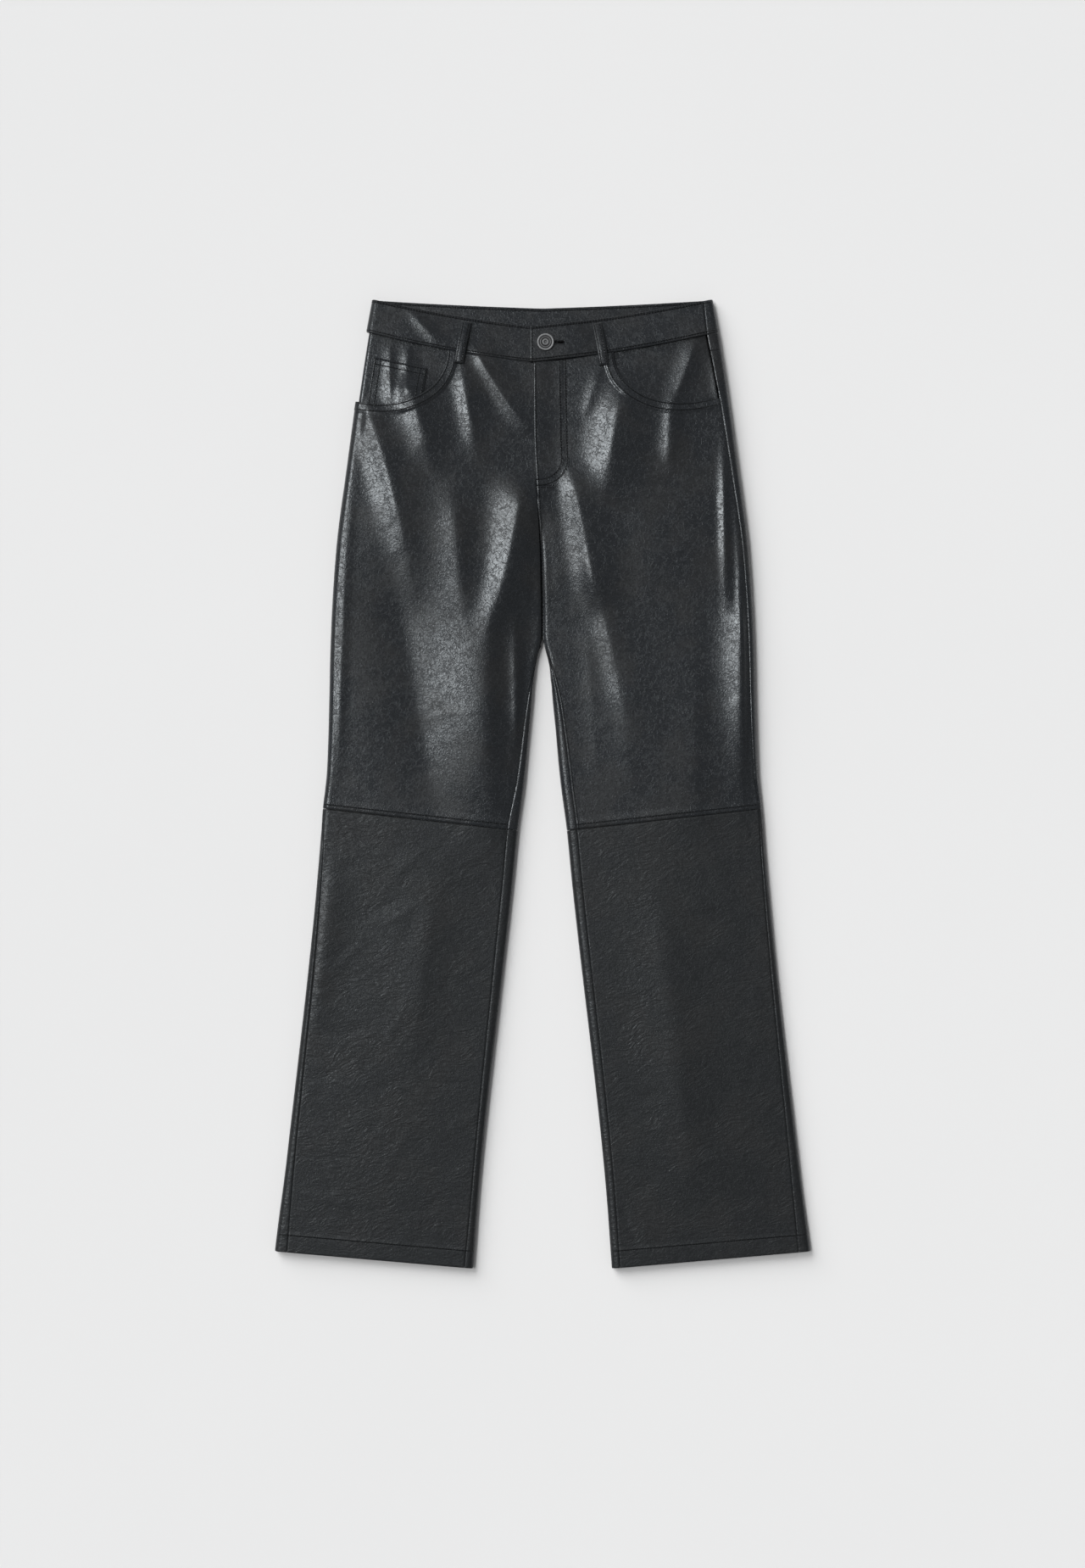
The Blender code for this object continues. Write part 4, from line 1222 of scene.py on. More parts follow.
@dataclass
class Legs:
    """Front and back panels of both legs, with their seams, hems, scoops and fly."""

    thread: bpy.types.Material
    front_step: float = 2.5
    back_step: float = 4.0
    hem_turn: float = 19.0
    hem_extra: float = 0.5
    shin_extra: float = 0.4
    welt: float = 7.5
    welt_height: float = 0.6
    scoop_welt: float = 9.5
    scoop_welt_height: float = 0.9
    scoop_reach: float = 30.0  # how far below the scoop it is still measured
    knee_row: float = 5.0
    scoop_rows: tuple[float, ...] = (1.8, 8.2)
    fly_lap: float = 8.0
    fly_lap_end: float = 12.0
    fly_lap_foot: float = 350.0
    fly_lift_foot: float = 326.0
    lap_fade: float = 26.0
    fly_height: float = 0.3
    fly_wide: float = 32.0
    fly_turn_y: float = 356.0
    fly_foot_y: float = 329.0
    fly_half: float = 3.2
    fly_edge_x: float = -9.6
    fly_run_top: float = 456.0
    edge_row: float = 2.2
    bars: tuple[float, ...] = (326.0, 323.6)
    fly_shift: tuple[float, float] = (2.0, 2.2)  # of the run's lower end, and of the bend
    bar_x: tuple[float, float] = (-2.5, 13.5)
    seam_inset: float = 2.0
    back_soft: float = 0.35

    def seam(self, name: str, side: Side, levels: np.ndarray) -> np.ndarray:
        """Arc of a leg seam, side or inner, at the given levels."""
        return column(SEAMS, f"{name}_{side.word}", levels)

    def parted(self, levels: np.ndarray) -> np.ndarray:
        """Share of the inseam's way round the inner fold: none until the back has rolled up."""
        return ease((CROTCH - ROLL_FADE - levels) / INSEAM_FADE)

    def front_end(self, side: Side, levels: np.ndarray, lap: np.ndarray | float = 0.0) -> np.ndarray:
        """Arc at which a front panel ends: the centre line or, below the crotch, the inseam."""
        inseam = self.seam("inner", side, levels) * self.parted(levels) + SEAM_GAP / 2 * curl(levels)
        return CrossLine(side, levels).front_cloth - inseam + lap

    def back_end(self, side: Side, levels: np.ndarray) -> np.ndarray:
        """Arc at which a back panel ends: the seat seam or, round the inner fold, the inseam."""
        inseam = (self.seam("inner", side, levels) - SEAM_GAP / 2) * self.parted(levels)
        return -CrossLine(side, levels).back_cloth - inseam

    def fly_gap(self, levels: np.ndarray, arcs: np.ndarray, points: np.ndarray) -> np.ndarray:
        """Distance from the J of the fly's stitching, - inside it and + outside.

        Args:
            levels: Levels of the places.
            arcs: Their arcs.
            points: Their points.

        Returns:
            Distances in millimetres.
        """
        from_edge = self.front_end(Side.LEFT, levels) - arcs
        drop = np.maximum(self.fly_turn_y - points[..., 1], 0) / (self.fly_turn_y - self.fly_foot_y)
        wide = from_edge / self.fly_wide
        reach = np.hypot(wide, drop)
        slope = np.hypot(wide / self.fly_wide, drop / (self.fly_turn_y - self.fly_foot_y))
        return (reach - 1) * reach / np.maximum(slope, TINY)

    def near_knee(self, levels: np.ndarray) -> np.ndarray:
        """Rise of the thigh panels over the knee seam's turned-up allowance."""
        above = levels - KNEE
        return self.welt_height * (1 - ease((above - self.welt) / 2.5)) * ease(above / 1.5)

    def front_lift(self, side: Side, levels: np.ndarray, arcs: np.ndarray, points: np.ndarray) -> np.ndarray:
        """Rise of a front thigh panel: knee and scoop welts, and the fly over its lap.

        Args:
            side: The leg's side.
            levels: Levels of the places.
            arcs: Their arcs.
            points: Their points.

        Returns:
            Lifts in millimetres.
        """
        away = SCOOPS[side].gap(points)
        near = levels > WAIST_SEAM - SCOOPS[side].depth - self.scoop_reach
        over = ease((arcs + 2) / 7)  # none round the side fold
        welt = self.scoop_welt_height * (1 - ease((away - self.scoop_welt) / 2.0)) * near * over
        lift = self.near_knee(levels) + welt
        if side is Side.LEFT:
            to_edge = self.front_end(side, levels) - arcs
            held = ease((levels - self.fly_lift_foot) / self.fly_lap_end)
            lapped = 1 - ease(to_edge / self.lap_fade)
            lift = lift + (CLOTH + LAYER_GAP) * lapped * held
            inside = 1 - ease((self.fly_gap(levels, arcs, points) + 1.0) / 2.5)
            lift = lift + self.fly_height * inside * ease((points[..., 1] - self.fly_foot_y) / 4)
        return lift

    def front_measures(self, side: Side, levels: np.ndarray, arcs: np.ndarray, points: np.ndarray) -> dict:
        """Attributes that a front thigh panel's sewn lines are measured by.

        Args:
            side: The leg's side.
            levels: Levels of the places.
            arcs: Their arcs.
            points: Their points.

        Returns:
            Distances in millimetres, by attribute.
        """
        away = SCOOPS[side].gap(points)
        near = levels > WAIST_SEAM - SCOOPS[side].depth - self.scoop_reach
        measures = {"from_scoop": np.where(near, np.clip(away, -FAR, FAR), FAR)}
        if side is Side.LEFT:
            fly = self.fly_gap(levels, arcs, points)
            measures["from_fly"] = np.where(points[..., 1] > self.fly_foot_y - 8, np.clip(fly, -FAR, FAR), FAR)
        return measures

    def front_thigh(self, side: Side) -> ClothPiece:
        """The front thigh panel, cut out along the scoop.

        Args:
            side: The leg's side.

        Returns:
            The piece.
        """
        scoop_levels, scoop_arcs = SCOOPS[side].edge()
        top = WAIST_SEAM - SEAM_GAP / 2
        foot = KNEE + SEAM_GAP / 2
        scoop_levels = np.minimum(scoop_levels, top - 1e-3 * np.arange(len(scoop_levels)))
        rest = scoop_levels[-1] - 0.15 - spaced(scoop_levels[-1] - 0.15 - foot, self.front_step)
        levels = np.concatenate([scoop_levels, rest])
        starts = np.concatenate([scoop_arcs, self.seam("side", side, rest) + SEAM_GAP / 2])
        lap = 0.0
        if side is Side.RIGHT:
            lap = self.fly_lap * ease((levels - self.fly_lap_foot) / self.fly_lap_end)
        arcs = stretched(starts, self.front_end(side, levels, lap), self.front_step)
        grid = np.repeat(levels[:, None], arcs.shape[1], axis=1)
        return ClothPiece(
            "front_thigh_" + side.word,
            side,
            grid,
            arcs,
            Slot.LEG,
            lift_of=lambda *place: self.front_lift(side, *place),
            measures_of=lambda *place: self.front_measures(side, *place),
            rests_on=("back_thigh_" + side.word, "pocket_facing_" + side.word),
        )

    def front_shin(self, side: Side) -> ClothPiece:
        """The front shin panel, with its hem turned up.

        Args:
            side: The leg's side.

        Returns:
            The piece.
        """
        top = KNEE - SEAM_GAP / 2
        levels = top - spaced(top - HEM, self.front_step)
        starts = self.seam("side", side, levels) + SEAM_GAP / 2
        arcs = stretched(starts, self.front_end(side, levels), self.front_step)
        grid = np.repeat(levels[:, None], arcs.shape[1], axis=1)
        return ClothPiece(
            "front_shin_" + side.word,
            side,
            grid,
            arcs,
            Slot.LEG,
            thickness=CLOTH + self.shin_extra,
            lift_of=self.hem_lift,
            rests_on=("back_shin_" + side.word,),
        )

    def hem_lift(self, levels: np.ndarray, arcs: np.ndarray, points: np.ndarray) -> np.ndarray:
        """Rise of a shin panel over the hem's turned-up edge, on the front."""
        return self.hem_extra * (1 - ease((levels - HEM - self.hem_turn) / 2.0)) * ease(arcs / 6)

    def slanted(self, sides: np.ndarray, centres: np.ndarray, arcs: np.ndarray) -> np.ndarray:
        """Levels that pass from a panel's side value to its centre value along each row."""
        share = (arcs - arcs[:, :1]) / (arcs[:, -1:] - arcs[:, :1])
        return sides[:, None] + (centres - sides)[:, None] * share

    def back(self, name: str, side: Side, sides: np.ndarray, centres: np.ndarray) -> ClothPiece:
        """A back panel, from the side seam round the fold and underneath to its inner end.

        Args:
            name: The panel's name without its side.
            side: The leg's side.
            sides: Levels of its rows at the side seam.
            centres: Levels of its rows at their inner end.

        Returns:
            The piece.
        """
        starts = self.seam("side", side, sides) - SEAM_GAP / 2
        arcs = stretched(starts, self.back_end(side, centres), self.back_step)
        return ClothPiece(
            f"{name}_{side.word}",
            side,
            self.slanted(sides, centres, arcs),
            arcs,
            Slot.LEG,
            soft_edge=self.back_soft,
            rests_on=("pale_floor",),
        )

    def backs(self, side: Side) -> list[ClothPiece]:
        """The back panels of one leg.

        Args:
            side: The leg's side.

        Returns:
            The yoke, the back thigh and the back shin.
        """
        half = SEAM_GAP / 2
        yoke_top = WAIST_SEAM - half
        yoke = yoke_top - spaced(yoke_top - YOKE_SIDE - half, self.back_step / 2)
        thigh_top = YOKE_SIDE - half
        thigh = thigh_top - spaced(thigh_top - KNEE - half, self.back_step)
        shin_top = KNEE - half
        shin = shin_top - spaced(shin_top - HEM, self.back_step)
        drop = YOKE_SIDE - YOKE_CENTRE
        yoke_fall = drop * ease((WAIST_SEAM - yoke) / (WAIST_SEAM - YOKE_SIDE))
        thigh_fall = drop * ease((thigh - SEAT_LEVEL) / (YOKE_SIDE - SEAT_LEVEL))
        return [
            self.back("back_yoke", side, yoke, yoke - yoke_fall),
            self.back("back_thigh", side, thigh, thigh - thigh_fall),
            self.back("back_shin", side, shin, shin),
        ]

    def sew_front(self, side: Side, thigh: ClothPiece, shin: ClothPiece) -> None:
        """Stitches a front: scoop rows, knee row, hem row and, on the left, the fly.

        Args:
            side: The leg's side.
            thigh: The front thigh panel.
            shin: The front shin panel.
        """
        sewing = Stitching("topstitching_front_" + side.word)
        for away in self.scoop_rows:
            sewing.row(thigh, *SCOOPS[side].offset(away))
        for piece, level in ((thigh, KNEE + self.knee_row), (shin, HEM + self.hem_turn)):
            ends = np.array([level])
            first = float(self.seam("side", side, ends)[0]) + self.seam_inset
            last = float(self.front_end(side, ends)[0]) - self.seam_inset
            arcs = np.linspace(first, last, 120)
            sewing.row(piece, np.full_like(arcs, level), arcs)
        if side is Side.LEFT:
            self.sew_fly(sewing, thigh)
        sewing.build(self.thread)

    def sew_fly(self, sewing: Stitching, thigh: ClothPiece) -> None:
        """Stitches the fly: its edge, the two rows of the J and the bar at its foot.

        Args:
            sewing: What the rows are added to.
            thigh: The left front thigh panel.
        """
        down = np.linspace(WAIST_SEAM - 5, self.fly_lift_foot + 3, 90)
        sewing.row(thigh, down, self.front_end(Side.LEFT, down) - self.edge_row)
        for beside in (-self.fly_half, self.fly_half):
            wide = self.fly_wide + beside
            deep = self.fly_turn_y - self.fly_foot_y + beside
            turns = np.linspace(0, math.pi / 2, 40)[1:]
            run_y = np.linspace(self.fly_run_top, self.fly_turn_y, 60)
            bend_x = self.fly_edge_x + wide * np.cos(turns) + self.fly_shift[1]
            x = np.concatenate([np.full(60, self.fly_edge_x + wide), bend_x])
            y = np.concatenate([run_y, self.fly_turn_y - deep * np.sin(turns)])
            x = x + np.interp(y, (self.fly_lap_foot, self.fly_run_top), (self.fly_shift[0], 0.0))
            keep = x > -4
            sewing.row(thigh, *locate(Side.LEFT, x[keep], y[keep]))
        for y in self.bars:
            x = np.linspace(*self.bar_x, 20)
            sewing.row(thigh, *locate(Side.LEFT, x, np.full_like(x, y)))

    def build(self) -> None:
        """Makes both legs."""
        scoop = tuple(SeamLine("from_scoop", at) for at in self.scoop_rows)
        knee = (SeamLine("from_foot", self.knee_row),)
        fly = tuple(SeamLine("from_fly", at) for at in (-self.fly_half, self.fly_half))
        fly += (SeamLine("from_end", self.edge_row),)
        thigh_leather = {
            Side.RIGHT: Leather("right_thigh_leather", scoop + knee).material(),
            Side.LEFT: Leather("left_thigh_leather", scoop + knee + fly).material(),
        }
        hem = (SeamLine("from_foot", self.hem_turn),)
        # the shins are the same leather as the thighs: this copy is rougher and more creased, and its deeper colour
        # is painted shade on the lower legs
        shin_leather_with_painted_shade = Leather(
            "shin_leather_with_painted_shade",
            hem,
            colour=(0.0088, 0.0094, 0.0102),
            brown=(0.0104, 0.0104, 0.0107),
            roughness=0.36,
            crease=0.42,
        ).material()
        back_leather = Leather("back_leather").material()
        for side in Side:
            thigh = self.front_thigh(side)
            shin = self.front_shin(side)
            thigh.build(thigh_leather[side])
            shin.build(shin_leather_with_painted_shade)
            for piece in self.backs(side):
                below_knee = piece.name.startswith("back_shin")
                piece.build(shin_leather_with_painted_shade if below_knee else back_leather)
            self.sew_front(side, thigh, shin)


# ---------------------------------------------------------------- pocket facings and coin pocket


@dataclass
class Pockets:
    """What shows in the pocket mouths: the two facings, and the coin pocket on the right one."""

    thread: bpy.types.Material
    margin: float = 15.0
    inset: float = 1.0
    sunk: float = 3.4
    cloth: float = 1.0
    above: float = 5.0  # how far the facings run up under the band
    step: float = 2.0
    coin_step: float = 1.6
    coin_top: float = 470.0
    coin_foot: float = 403.0
    coin_from: float = 17.0
    coin_to: float = 76.0
    coin_rows: tuple[float, ...] = (1.8, 7.6)
    coin_dimple: float = 0.25

    def facing(self, side: Side) -> ClothPiece:
        """The facing under one scoop.

        Args:
            side: The pocket's side.

        Returns:
            The piece.
        """
        top = WAIST_SEAM + self.above
        foot = WAIST_SEAM - SCOOPS[side].depth - self.margin
        levels = top - spaced(top - foot, self.step)
        starts = column(SEAMS, "side_" + side.word, levels) + self.inset
        ends = np.full_like(starts, SCOOPS[side].from_fold + self.margin)
        arcs = stretched(starts, ends, self.step)
        grid = np.repeat(levels[:, None], arcs.shape[1], axis=1)
        return ClothPiece(
            "pocket_facing_" + side.word, side, grid, arcs, Slot.POCKET, thickness=self.cloth,
            lift_of=lambda *place: -self.sunk, rests_on=("back_thigh_" + side.word,),
        )

    def coin(self) -> ClothPiece:
        """The coin pocket, laid on the right facing.

        Returns:
            The piece.
        """
        levels = self.coin_top - spaced(self.coin_top - self.coin_foot, self.coin_step)
        starts = np.full_like(levels, self.coin_from)
        arcs = stretched(starts, np.full_like(levels, self.coin_to), self.coin_step)
        grid = np.repeat(levels[:, None], arcs.shape[1], axis=1)
        lift = self.cloth + 2 * LAYER_GAP - self.sunk
        return ClothPiece(
            "coin_pocket", Side.RIGHT, grid, arcs, Slot.POCKET, thickness=self.cloth,
            lift_of=lambda *place: lift, rests_on=("pocket_facing_right",),
        )

    def build(self) -> None:
        """Makes the facings, the coin pocket and its stitching."""
        plain = Leather("facing_leather").material()
        for side in Side:
            self.facing(side).build(plain)
        edges = ("from_top", "from_start", "from_end")
        lines = tuple(SeamLine(edge, at, self.coin_dimple) for edge in edges for at in self.coin_rows)
        coin = self.coin()
        coin.build(Leather("coin_pocket_leather", lines).material())
        sewing = Stitching("topstitching_coin_pocket")
        for inset in self.coin_rows:
            across = np.linspace(self.coin_from + 2, self.coin_to - 2, 50)
            sewing.row(coin, np.full_like(across, self.coin_top - inset), across)
            down = np.linspace(self.coin_top - 2, self.coin_foot + 8, 50)
            for arc in (self.coin_from + inset, self.coin_to - inset):
                sewing.row(coin, down, np.full_like(down, arc))
        sewing.build(self.thread)


# ---------------------------------------------------------------- waistband


@dataclass
class Waistband:
    """The two front bands, the back band seen from inside, and the buttonhole."""

    legs: Legs
    thread: bpy.types.Material
    step: float = 1.8
    overlap: float = 4.0
    underlap: float = 28.0
    lap_fade: float = 60.0
    row: float = 2.6
    # a row of black thread just under the top edge, standing in for the line of shade along the band's top edge;
    # the sewn row is the one at row
    edge_shade_row: float = 0.9
    soft_edge: float = 0.7
    back_edge: float = 0.6
    back_lower_row: float = 33.0
    back_row_half: float = 176.0
    back_flat: float = 0.036  # the back band's depth, in metres
    cutter: float = 40.0
    eye: tuple[float, float] = BUTTON_CENTRE
    eye_r: float = 3.0
    slot_half: float = 0.8
    slot_end: float = 23.0
    purl_reach: tuple[float, float] = (-0.2, 1.5)
    purl_pitch: float = 0.75

    def levels(self) -> np.ndarray:
        """Levels of the band's rows, from its top edge to the waist seam."""
        return WAIST_TOP - spaced(WAIST_TOP - WAIST_SEAM - SEAM_GAP / 2, self.step)

    def ends(self, side: Side, levels: np.ndarray) -> np.ndarray:
        """Arc of a front band's end, past the centre line."""
        lap = self.underlap if side is Side.RIGHT else self.overlap
        return self.legs.front_end(side, levels, lap)

    def lift(self, side: Side, levels: np.ndarray, arcs: np.ndarray) -> np.ndarray:
        """Rise of a front band: the left one lies over the right one's underlap.

        Args:
            side: The band's side.
            levels: Levels of the places.
            arcs: Their arcs.

        Returns:
            Lifts in millimetres.
        """
        if side is Side.RIGHT:
            return np.zeros(np.shape(levels))
        held = self.ends(side, levels) - self.underlap - self.overlap
        return (BAND_CLOTH + LAYER_GAP) * (1 - ease((held - arcs) / self.lap_fade))

    def front(self, side: Side) -> ClothPiece:
        """One front band.

        Args:
            side: Its side.

        Returns:
            The piece.
        """
        levels = self.levels()
        starts = column(SEAMS, "side_" + side.word, levels) + SEAM_GAP / 2
        arcs = stretched(starts, self.ends(side, levels), self.step)
        grid = np.repeat(levels[:, None], arcs.shape[1], axis=1)
        return ClothPiece(
            "waistband_front_" + side.word,
            side,
            grid,
            arcs,
            Slot.BAND,
            thickness=BAND_CLOTH,
            soft_edge=self.soft_edge,
            lift_of=lambda levels, arcs, points: self.lift(side, levels, arcs),
            rests_on=("waistband_back",),
        )

    def cut_buttonhole(self, band: bpy.types.Object) -> None:
        """Cuts the keyhole through the left band.

        Args:
            band: The left band.
        """
        opening = math.asin(self.slot_half / self.eye_r)
        turns = np.linspace(opening, 2 * math.pi - opening, 33)
        outline = [(self.eye[0] + self.eye_r * math.cos(t), self.eye[1] + self.eye_r * math.sin(t)) for t in turns]
        outline += [(self.slot_end, self.eye[1] - self.slot_half), (self.slot_end, self.eye[1] + self.slot_half)]
        bm = bmesh.new()
        foot = [bm.verts.new((x * MM, y * MM, 0.0)) for x, y in outline]
        base = bm.faces.new(foot)
        drawn = bmesh.ops.extrude_face_region(bm, geom=[base])
        top = [v for v in drawn["geom"] if isinstance(v, bmesh.types.BMVert)]
        bmesh.ops.translate(bm, verts=top, vec=(0, 0, self.cutter * MM))
        bmesh.ops.recalc_face_normals(bm, faces=bm.faces[:])
        mesh = bpy.data.meshes.new("keyhole")
        bm.to_mesh(mesh)
        bm.free()
        cutter = bpy.data.objects.new("keyhole", mesh)
        bpy.context.scene.collection.objects.link(cutter)
        modifier = band.modifiers.new("keyhole", "BOOLEAN")
        modifier.operation = "DIFFERENCE"
        modifier.solver = "EXACT"
        modifier.object = cutter
        depsgraph = bpy.context.evaluated_depsgraph_get()
        cut = bpy.data.meshes.new_from_object(band.evaluated_get(depsgraph), depsgraph=depsgraph)
        band.modifiers.clear()
        band.data = cut
        bpy.data.objects.remove(cutter)

    def purl(self, band: ClothPiece) -> None:
        """Sews the dense stitches round the keyhole.

        Args:
            band: The left band.
        """
        sewing = Stitching("buttonhole_thread", length=1.7, radius=0.24, proud=0.08)
        opening = math.asin(self.slot_half / self.eye_r)
        places = []
        for turn in np.linspace(opening, 2 * math.pi - opening, 26):
            places.append((self.eye_r * math.cos(turn), self.eye_r * math.sin(turn), turn))
        for along in np.arange(self.eye_r + 0.5, self.slot_end - self.eye[0], self.purl_pitch):
            places.append((along, self.slot_half, math.pi / 2))
            places.append((along, -self.slot_half, -math.pi / 2))
        for turn in np.linspace(-math.pi / 2, math.pi / 2, 7)[1:-1]:
            places.append((self.slot_end - self.eye[0], 0.0, turn))
        reach = np.array(self.purl_reach)
        for dx, dy, turn in places:
            x = self.eye[0] + dx + reach * math.cos(turn)
            y = self.eye[1] + dy + reach * math.sin(turn)
            sewing.row(band, *locate(Side.LEFT, x, y))
        sewing.build(self.thread)

    def back(self) -> None:
        """The back band: one strip right round, seen from inside above the front's top edge."""
        levels = self.levels()
        halves = []
        for side in Side:
            starts = column(SEAMS, "side_" + side.word, levels) - SEAM_GAP / 2
            arcs = stretched(starts, -CrossLine(side, levels).back_cloth, self.step * 1.5)
            grid = np.repeat(levels[:, None], arcs.shape[1], axis=1)
            points, normal = surface(side, grid, arcs)
            down = WAIST_TOP - grid
            foot = grid - levels[-1]
            edge = np.minimum(np.minimum(down, foot), np.abs(arcs - arcs[:, :1]))
            rounded = self.back_edge * (1 - ease(edge / EDGE_ROUND))
            outer = points - normal * rounded[..., None]
            inner = points - normal * (BAND_CLOTH - rounded)[..., None]
            halves.append((outer, inner, down))
        joined = []
        for right, left in zip(*halves):
            if right.ndim == 3:
                right[:, -1, 0] = 0.0
            joined.append(np.concatenate([right, left[:, -2::-1]], axis=1))
        lines = tuple(SeamLine("from_top", at) for at in (self.row, self.back_lower_row))
        leather = Leather("back_band_leather", lines)
        mesh = wall_mesh("waistband_back", joined[0], joined[1], {"from_top": joined[2]})
        made = smooth_object("sewn_waistband_back", mesh, leather.material())
        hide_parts("waistband_back")
        sewing = Stitching("topstitching_back_band")
        row = int(np.argmin(np.abs(levels - (WAIST_TOP - self.row))))
        inside = joined[1][row]
        up = np.repeat([[0.0, 0.0, 1.0]], len(inside), axis=0)
        flat = np.abs(inside[:, 0]) < self.back_row_half
        sewing.sew(inside[flat], up[flat])
        sewing.build(self.thread)
        log.info("waistband_back: %d faces", len(mesh.polygons))

    def build(self) -> None:
        """Makes the bands."""
        lines = (SeamLine("from_top", self.row), SeamLine("from_foot", self.row), SeamLine("from_end", self.row))
        for side in Side:
            band = self.front(side)
            leather = Leather(f"front_band_leather_{side.word}", lines if side is Side.LEFT else lines[:2])
            made = band.build(leather.material())
            sewing = Stitching("topstitching_band_" + side.word)
            # the first row is black thread standing in for the shade along the top edge
            for level in (WAIST_TOP - self.edge_shade_row, WAIST_TOP - self.row, WAIST_SEAM + self.row):
                first = float(column(SEAMS, "side_" + side.word, np.array([level]))[0]) + 2
                last = float(self.ends(side, np.array([level]))[0]) - self.row
                arcs = np.linspace(first, last, 150)
                sewing.row(band, np.full_like(arcs, level), arcs)
            if side is Side.LEFT:
                down = np.linspace(WAIST_TOP - self.row, WAIST_SEAM + self.row, 30)
                sewing.row(band, down, self.ends(side, down) - self.row)
                self.cut_buttonhole(made)
                self.purl(band)
            sewing.build(self.thread)
        self.back()


@dataclass
class BeltLoops:
    """The two front belt loops, folded strips sewn over the waistband."""

    thread: bpy.types.Material
    width: float = 11.0
    cloth: float = 2.0
    top: float = 525.5
    foot: float = 481.0
    step: float = 0.35
    arch: float = 1.8
    arch_power: float = 0.8
    crown: float = 0.8
    inner_puff: float = 0.35
    inner_half: float = 1.9
    outer_puff: float = 0.25
    outer_at: float = 4.4
    puff_fade: float = 0.8
    soft_edge: float = 0.7
    dimple: float = 0.3
    row: float = 2.5
    middles: tuple[tuple[Side, float], ...] = ((Side.RIGHT, 109.0), (Side.LEFT, 133.0))

    def strip(self, side: Side, middle: float) -> ClothPiece:
        """One loop.

        Args:
            side: Its side.
            middle: Arc of its middle.

        Returns:
            The piece.
        """
        levels = self.top - spaced(self.top - self.foot, 1.0)
        starts = np.full_like(levels, middle - self.width / 2)
        arcs = stretched(starts, starts + self.width, self.step)
        grid = np.repeat(levels[:, None], arcs.shape[1], axis=1)

        def lift(levels: np.ndarray, arcs: np.ndarray, points: np.ndarray) -> np.ndarray:
            """Stand-off of the strip: arched between its sewn ends, puffed between its rows.

            Args:
                levels: Levels of the places.
                arcs: Their arcs.
                points: Their points; not used.

            Returns:
                Lifts in millimetres.
            """
            share = np.clip((self.top - levels) / (self.top - self.foot), 0, 1)
            beside = np.abs(arcs - middle)
            puff = self.inner_puff * (1 - ease((beside - self.inner_half) / self.puff_fade))
            puff = puff + self.outer_puff * (1 - ease(np.abs(beside - self.outer_at) / self.puff_fade))
            crown = self.crown * (1 - (beside / (self.width / 2)) ** 2)
            return self.cloth + SEAM_GAP + self.arch * np.sin(math.pi * share) ** self.arch_power + puff + crown

        return ClothPiece(
            "belt_loop_" + side.word,
            side,
            grid,
            arcs,
            Slot.BAND,
            thickness=self.cloth,
            soft_edge=self.soft_edge,
            lift_of=lift,
            rests_on=("waistband_front_" + side.word,),
        )

    def build(self) -> None:
        """Makes both loops and their stitching."""
        rows = tuple(SeamLine(edge, self.row, self.dimple) for edge in ("from_start", "from_end"))
        leather = Leather("belt_loop_leather", rows).material()
        for side, middle in self.middles:
            strip = self.strip(side, middle)
            strip.build(leather)
            sewing = Stitching("topstitching_loop_" + side.word)
            down = np.linspace(self.top - 1.5, self.foot + 1.5, 40)
            for beside in (-1, 1):
                sewing.row(strip, down, np.full_like(down, middle + beside * (self.width / 2 - self.row)))
            sewing.build(self.thread)


@dataclass
class WaistButton:
    """The turned shank button: a rolled rim, a sunk ring and a raised middle on a post."""

    centre: tuple[float, float] = BUTTON_CENTRE
    radius: float = 9.3
    post: float = 2.0  # its radius
    cap: float = 2.5  # height of the button's top over the cap's underside
    rim: tuple[float, float] = (0.9, 1.2)  # half the rounded rim's width and height
    under: float = 0.7  # how far in from the rim the underside ends
    middle: float = 1.6  # height of the middle over the cap's underside
    steps: int = 96
    face: tuple[tuple[float, float], ...] = (
        (1.9, 2.3), (2.3, 1.75), (2.5, 1.65), (3.1, 1.65), (3.4, 1.95), (3.8, 2.05), (4.2, 1.9), (4.5, 1.55),
        (5.3, 1.5), (5.6, 1.9), (6.0, 2.3), (6.8, 2.4), (7.3, 2.2), (7.8, 1.7), (8.4, 1.55),
    )  # distance in from the rim, and height over the cap's underside  # fmt: skip

    def profile(self, foot: float, base: float) -> list[tuple[float, float]]:
        """Outline of the button's half section, from the axis under it to the axis on top.

        Args:
            foot: Height of the post's end.
            base: Height of the cap's underside.

        Returns:
            Radii and heights.
        """
        outline = [(0.0, foot), (self.post, foot), (self.post, base), (self.radius - self.under, base)]
        wide, high = self.rim
        for turn in np.linspace(-90, 90, 9):
            angle = math.radians(turn)
            edge = self.radius - wide + wide * math.cos(angle)
            outline.append((edge, base + high + high * math.sin(angle)))
        outline += [(self.radius - inset, base + rise) for inset, rise in self.face]
        return outline + [(0.0, base + self.middle)]

    def build(self) -> None:
        """Turns the button where the frame has it."""
        low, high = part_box("waist_button")
        foot = low.z / MM
        base = high.z / MM - self.cap
        bm = bmesh.new()
        corners = [bm.verts.new((r * MM, 0.0, z * MM)) for r, z in self.profile(foot, base)]
        edges = [bm.edges.new(pair) for pair in zip(corners, corners[1:])]
        bmesh.ops.spin(
            bm,
            geom=corners + edges,
            cent=(0, 0, 0),
            axis=(0, 0, 1),
            angle=2 * math.pi,
            steps=self.steps,
            use_merge=True,
        )
        bmesh.ops.remove_doubles(bm, verts=bm.verts[:], dist=1e-7)
        bmesh.ops.translate(bm, verts=bm.verts[:], vec=(self.centre[0] * MM, self.centre[1] * MM, 0.0))
        bmesh.ops.recalc_face_normals(bm, faces=bm.faces[:])
        mesh = bpy.data.meshes.new("waist_button_turned")
        bm.to_mesh(mesh)
        bm.free()
        made = smooth_object("waist_button_turned", mesh, Gunmetal(centre=self.centre).material())
        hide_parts("waist_button")
        log.info("waist_button_turned: %d faces", len(mesh.polygons))


# ---------------------------------------------------------------- studio


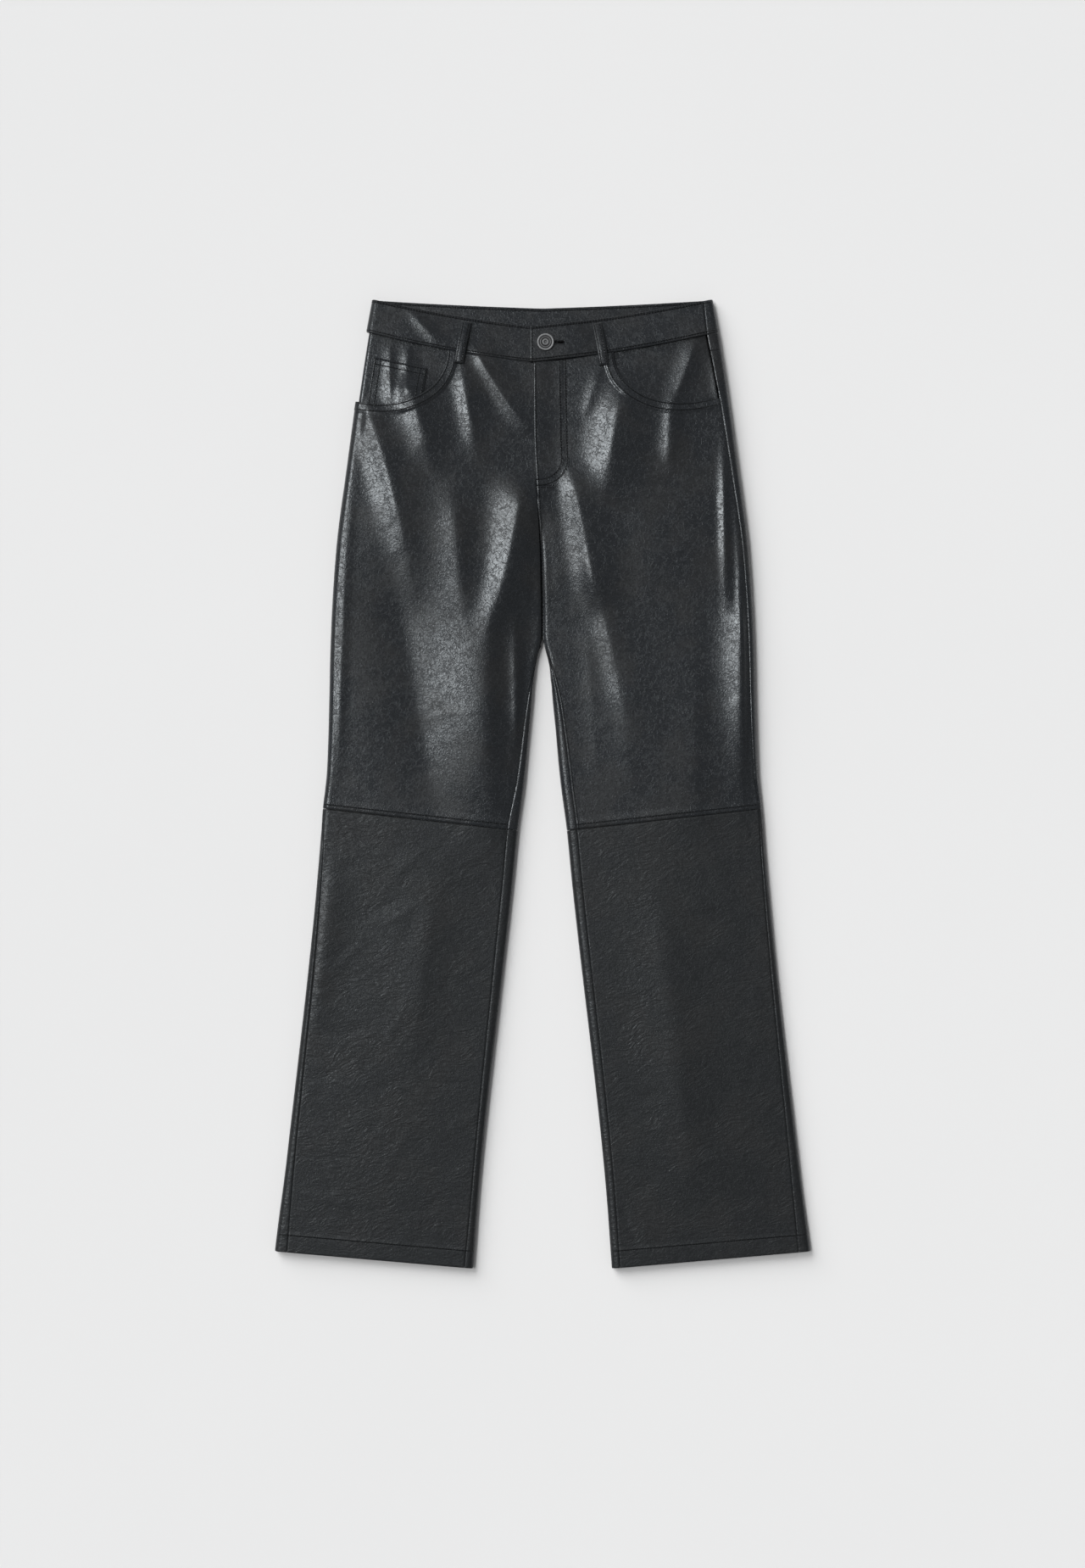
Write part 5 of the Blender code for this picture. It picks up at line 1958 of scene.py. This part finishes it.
@dataclass(frozen=True)
class SoftKey:
    """A large far softbox, as a wide round sun. Angles are in degrees."""

    name: str
    off_vertical: float
    bearing: float  # from +X towards +Y
    across: float
    strength: float
    gloss: bool = True  # whether it shows in the leather's shine
    far: float = 4.0  # metres

    def build(self) -> None:
        """Hangs the light."""
        light = bpy.data.lights.new(self.name, "SUN")
        light.angle = math.radians(self.across)
        light.energy = self.strength
        made = bpy.data.objects.new(self.name, light)
        tilt, turn = math.radians(self.off_vertical), math.radians(self.bearing)
        way = Vector((math.sin(tilt) * math.cos(turn), math.sin(tilt) * math.sin(turn), math.cos(tilt)))
        made.visible_glossy = self.gloss
        made.location = way * self.far
        made.rotation_mode = "QUATERNION"
        made.rotation_quaternion = way.to_track_quat("Z", "Y")
        bpy.context.scene.collection.objects.link(made)


@dataclass(frozen=True)
class Studio:
    """A pale floor, a dim dome with pale walls, soft boxes and a camera straight above.

    The camera's height and the floor's sizes are in metres, the frame and the sensor in millimetres.
    """

    height: float = 3.0
    frame_long: float = 1719.6  # how much of the floor the picture's long side takes in
    sensor: float = 36.0
    floor_half: float = 90.0
    floor_drop: float = 0.0002
    wall_light: float = 0.3
    zenith_light: float = 0.2
    skirting_light: float = 0.83  # as pale as the floor, where the two meet
    skirting: tuple[float, float] = (0.02, 0.05)  # between which it dies away, upwards
    walls: tuple[float, float] = (0.25, 0.72)  # between which the walls dim into the ceiling
    tint: tuple[float, float, float, float] = (0.98, 0.99, 1.0, 1.0)
    lights: tuple[SoftKey, ...] = (
        SoftKey("key", 24.0, 161.0, 18.0, 1.1),
        SoftKey("side", 60.0, 130.0, 48.0, 3.4, gloss=False),
        SoftKey("sheen", 60.0, 138.0, 60.0, 0.16),
    )

    def floor(self) -> None:
        """Lays the floor."""
        half = self.floor_half
        bm = bmesh.new()
        corners = [(-half, -half), (half, -half), (half, half), (-half, half)]
        bm.faces.new([bm.verts.new((x, y, -self.floor_drop)) for x, y in corners])
        mesh = bpy.data.meshes.new("pale_floor")
        bm.to_mesh(mesh)
        bm.free()
        mesh.materials.append(PaleFloor().material())
        made = bpy.data.objects.new("pale_floor", mesh)
        bpy.context.scene.collection.objects.link(made)

    def dome(self) -> None:
        """Lights the room: pale walls, and a dim ceiling where the camera hangs."""
        world = bpy.data.worlds.new("studio")
        world.use_nodes = True
        wiring = Wiring(world.node_tree)
        way = wiring.add("TexCoord").outputs["Generated"]
        up = wiring.add("SeparateXYZ", {0: way}).outputs["Z"]
        room = wiring.ramp(up, *self.walls, self.wall_light, self.zenith_light)
        skirting = wiring.ramp(up, *self.skirting, self.skirting_light, 0.0)
        glow = wiring.math("MAXIMUM", room, skirting)
        backdrop = world.node_tree.nodes["Background"]
        backdrop.inputs["Color"].default_value = self.tint
        world.node_tree.links.new(glow, backdrop.inputs["Strength"])
        bpy.context.scene.world = world

    def camera(self) -> None:
        """Hangs the camera straight above the garment's middle."""
        data = bpy.data.cameras.new("camera")
        data.sensor_width = self.sensor
        data.lens = self.sensor * self.height / (self.frame_long * MM)
        made = bpy.data.objects.new("camera", data)
        made.location = (0.0, 0.0, self.height)
        bpy.context.scene.collection.objects.link(made)
        bpy.context.scene.camera = made

    def build(self) -> None:
        """Sets the studio up."""
        bpy.context.scene.view_settings.view_transform = "Standard"
        self.floor()
        self.dome()
        self.camera()
        for light in self.lights:
            light.build()


def main() -> None:
    """Builds the trousers and the studio."""
    logging.basicConfig(level=logging.INFO, format="%(message)s")
    Studio().build()
    thread = Thread().material()
    legs = Legs(thread)
    legs.build()
    Pockets(thread).build()
    Waistband(legs, thread).build()
    BeltLoops(thread).build()
    WaistButton().build()


if __name__ == "__main__":
    main()
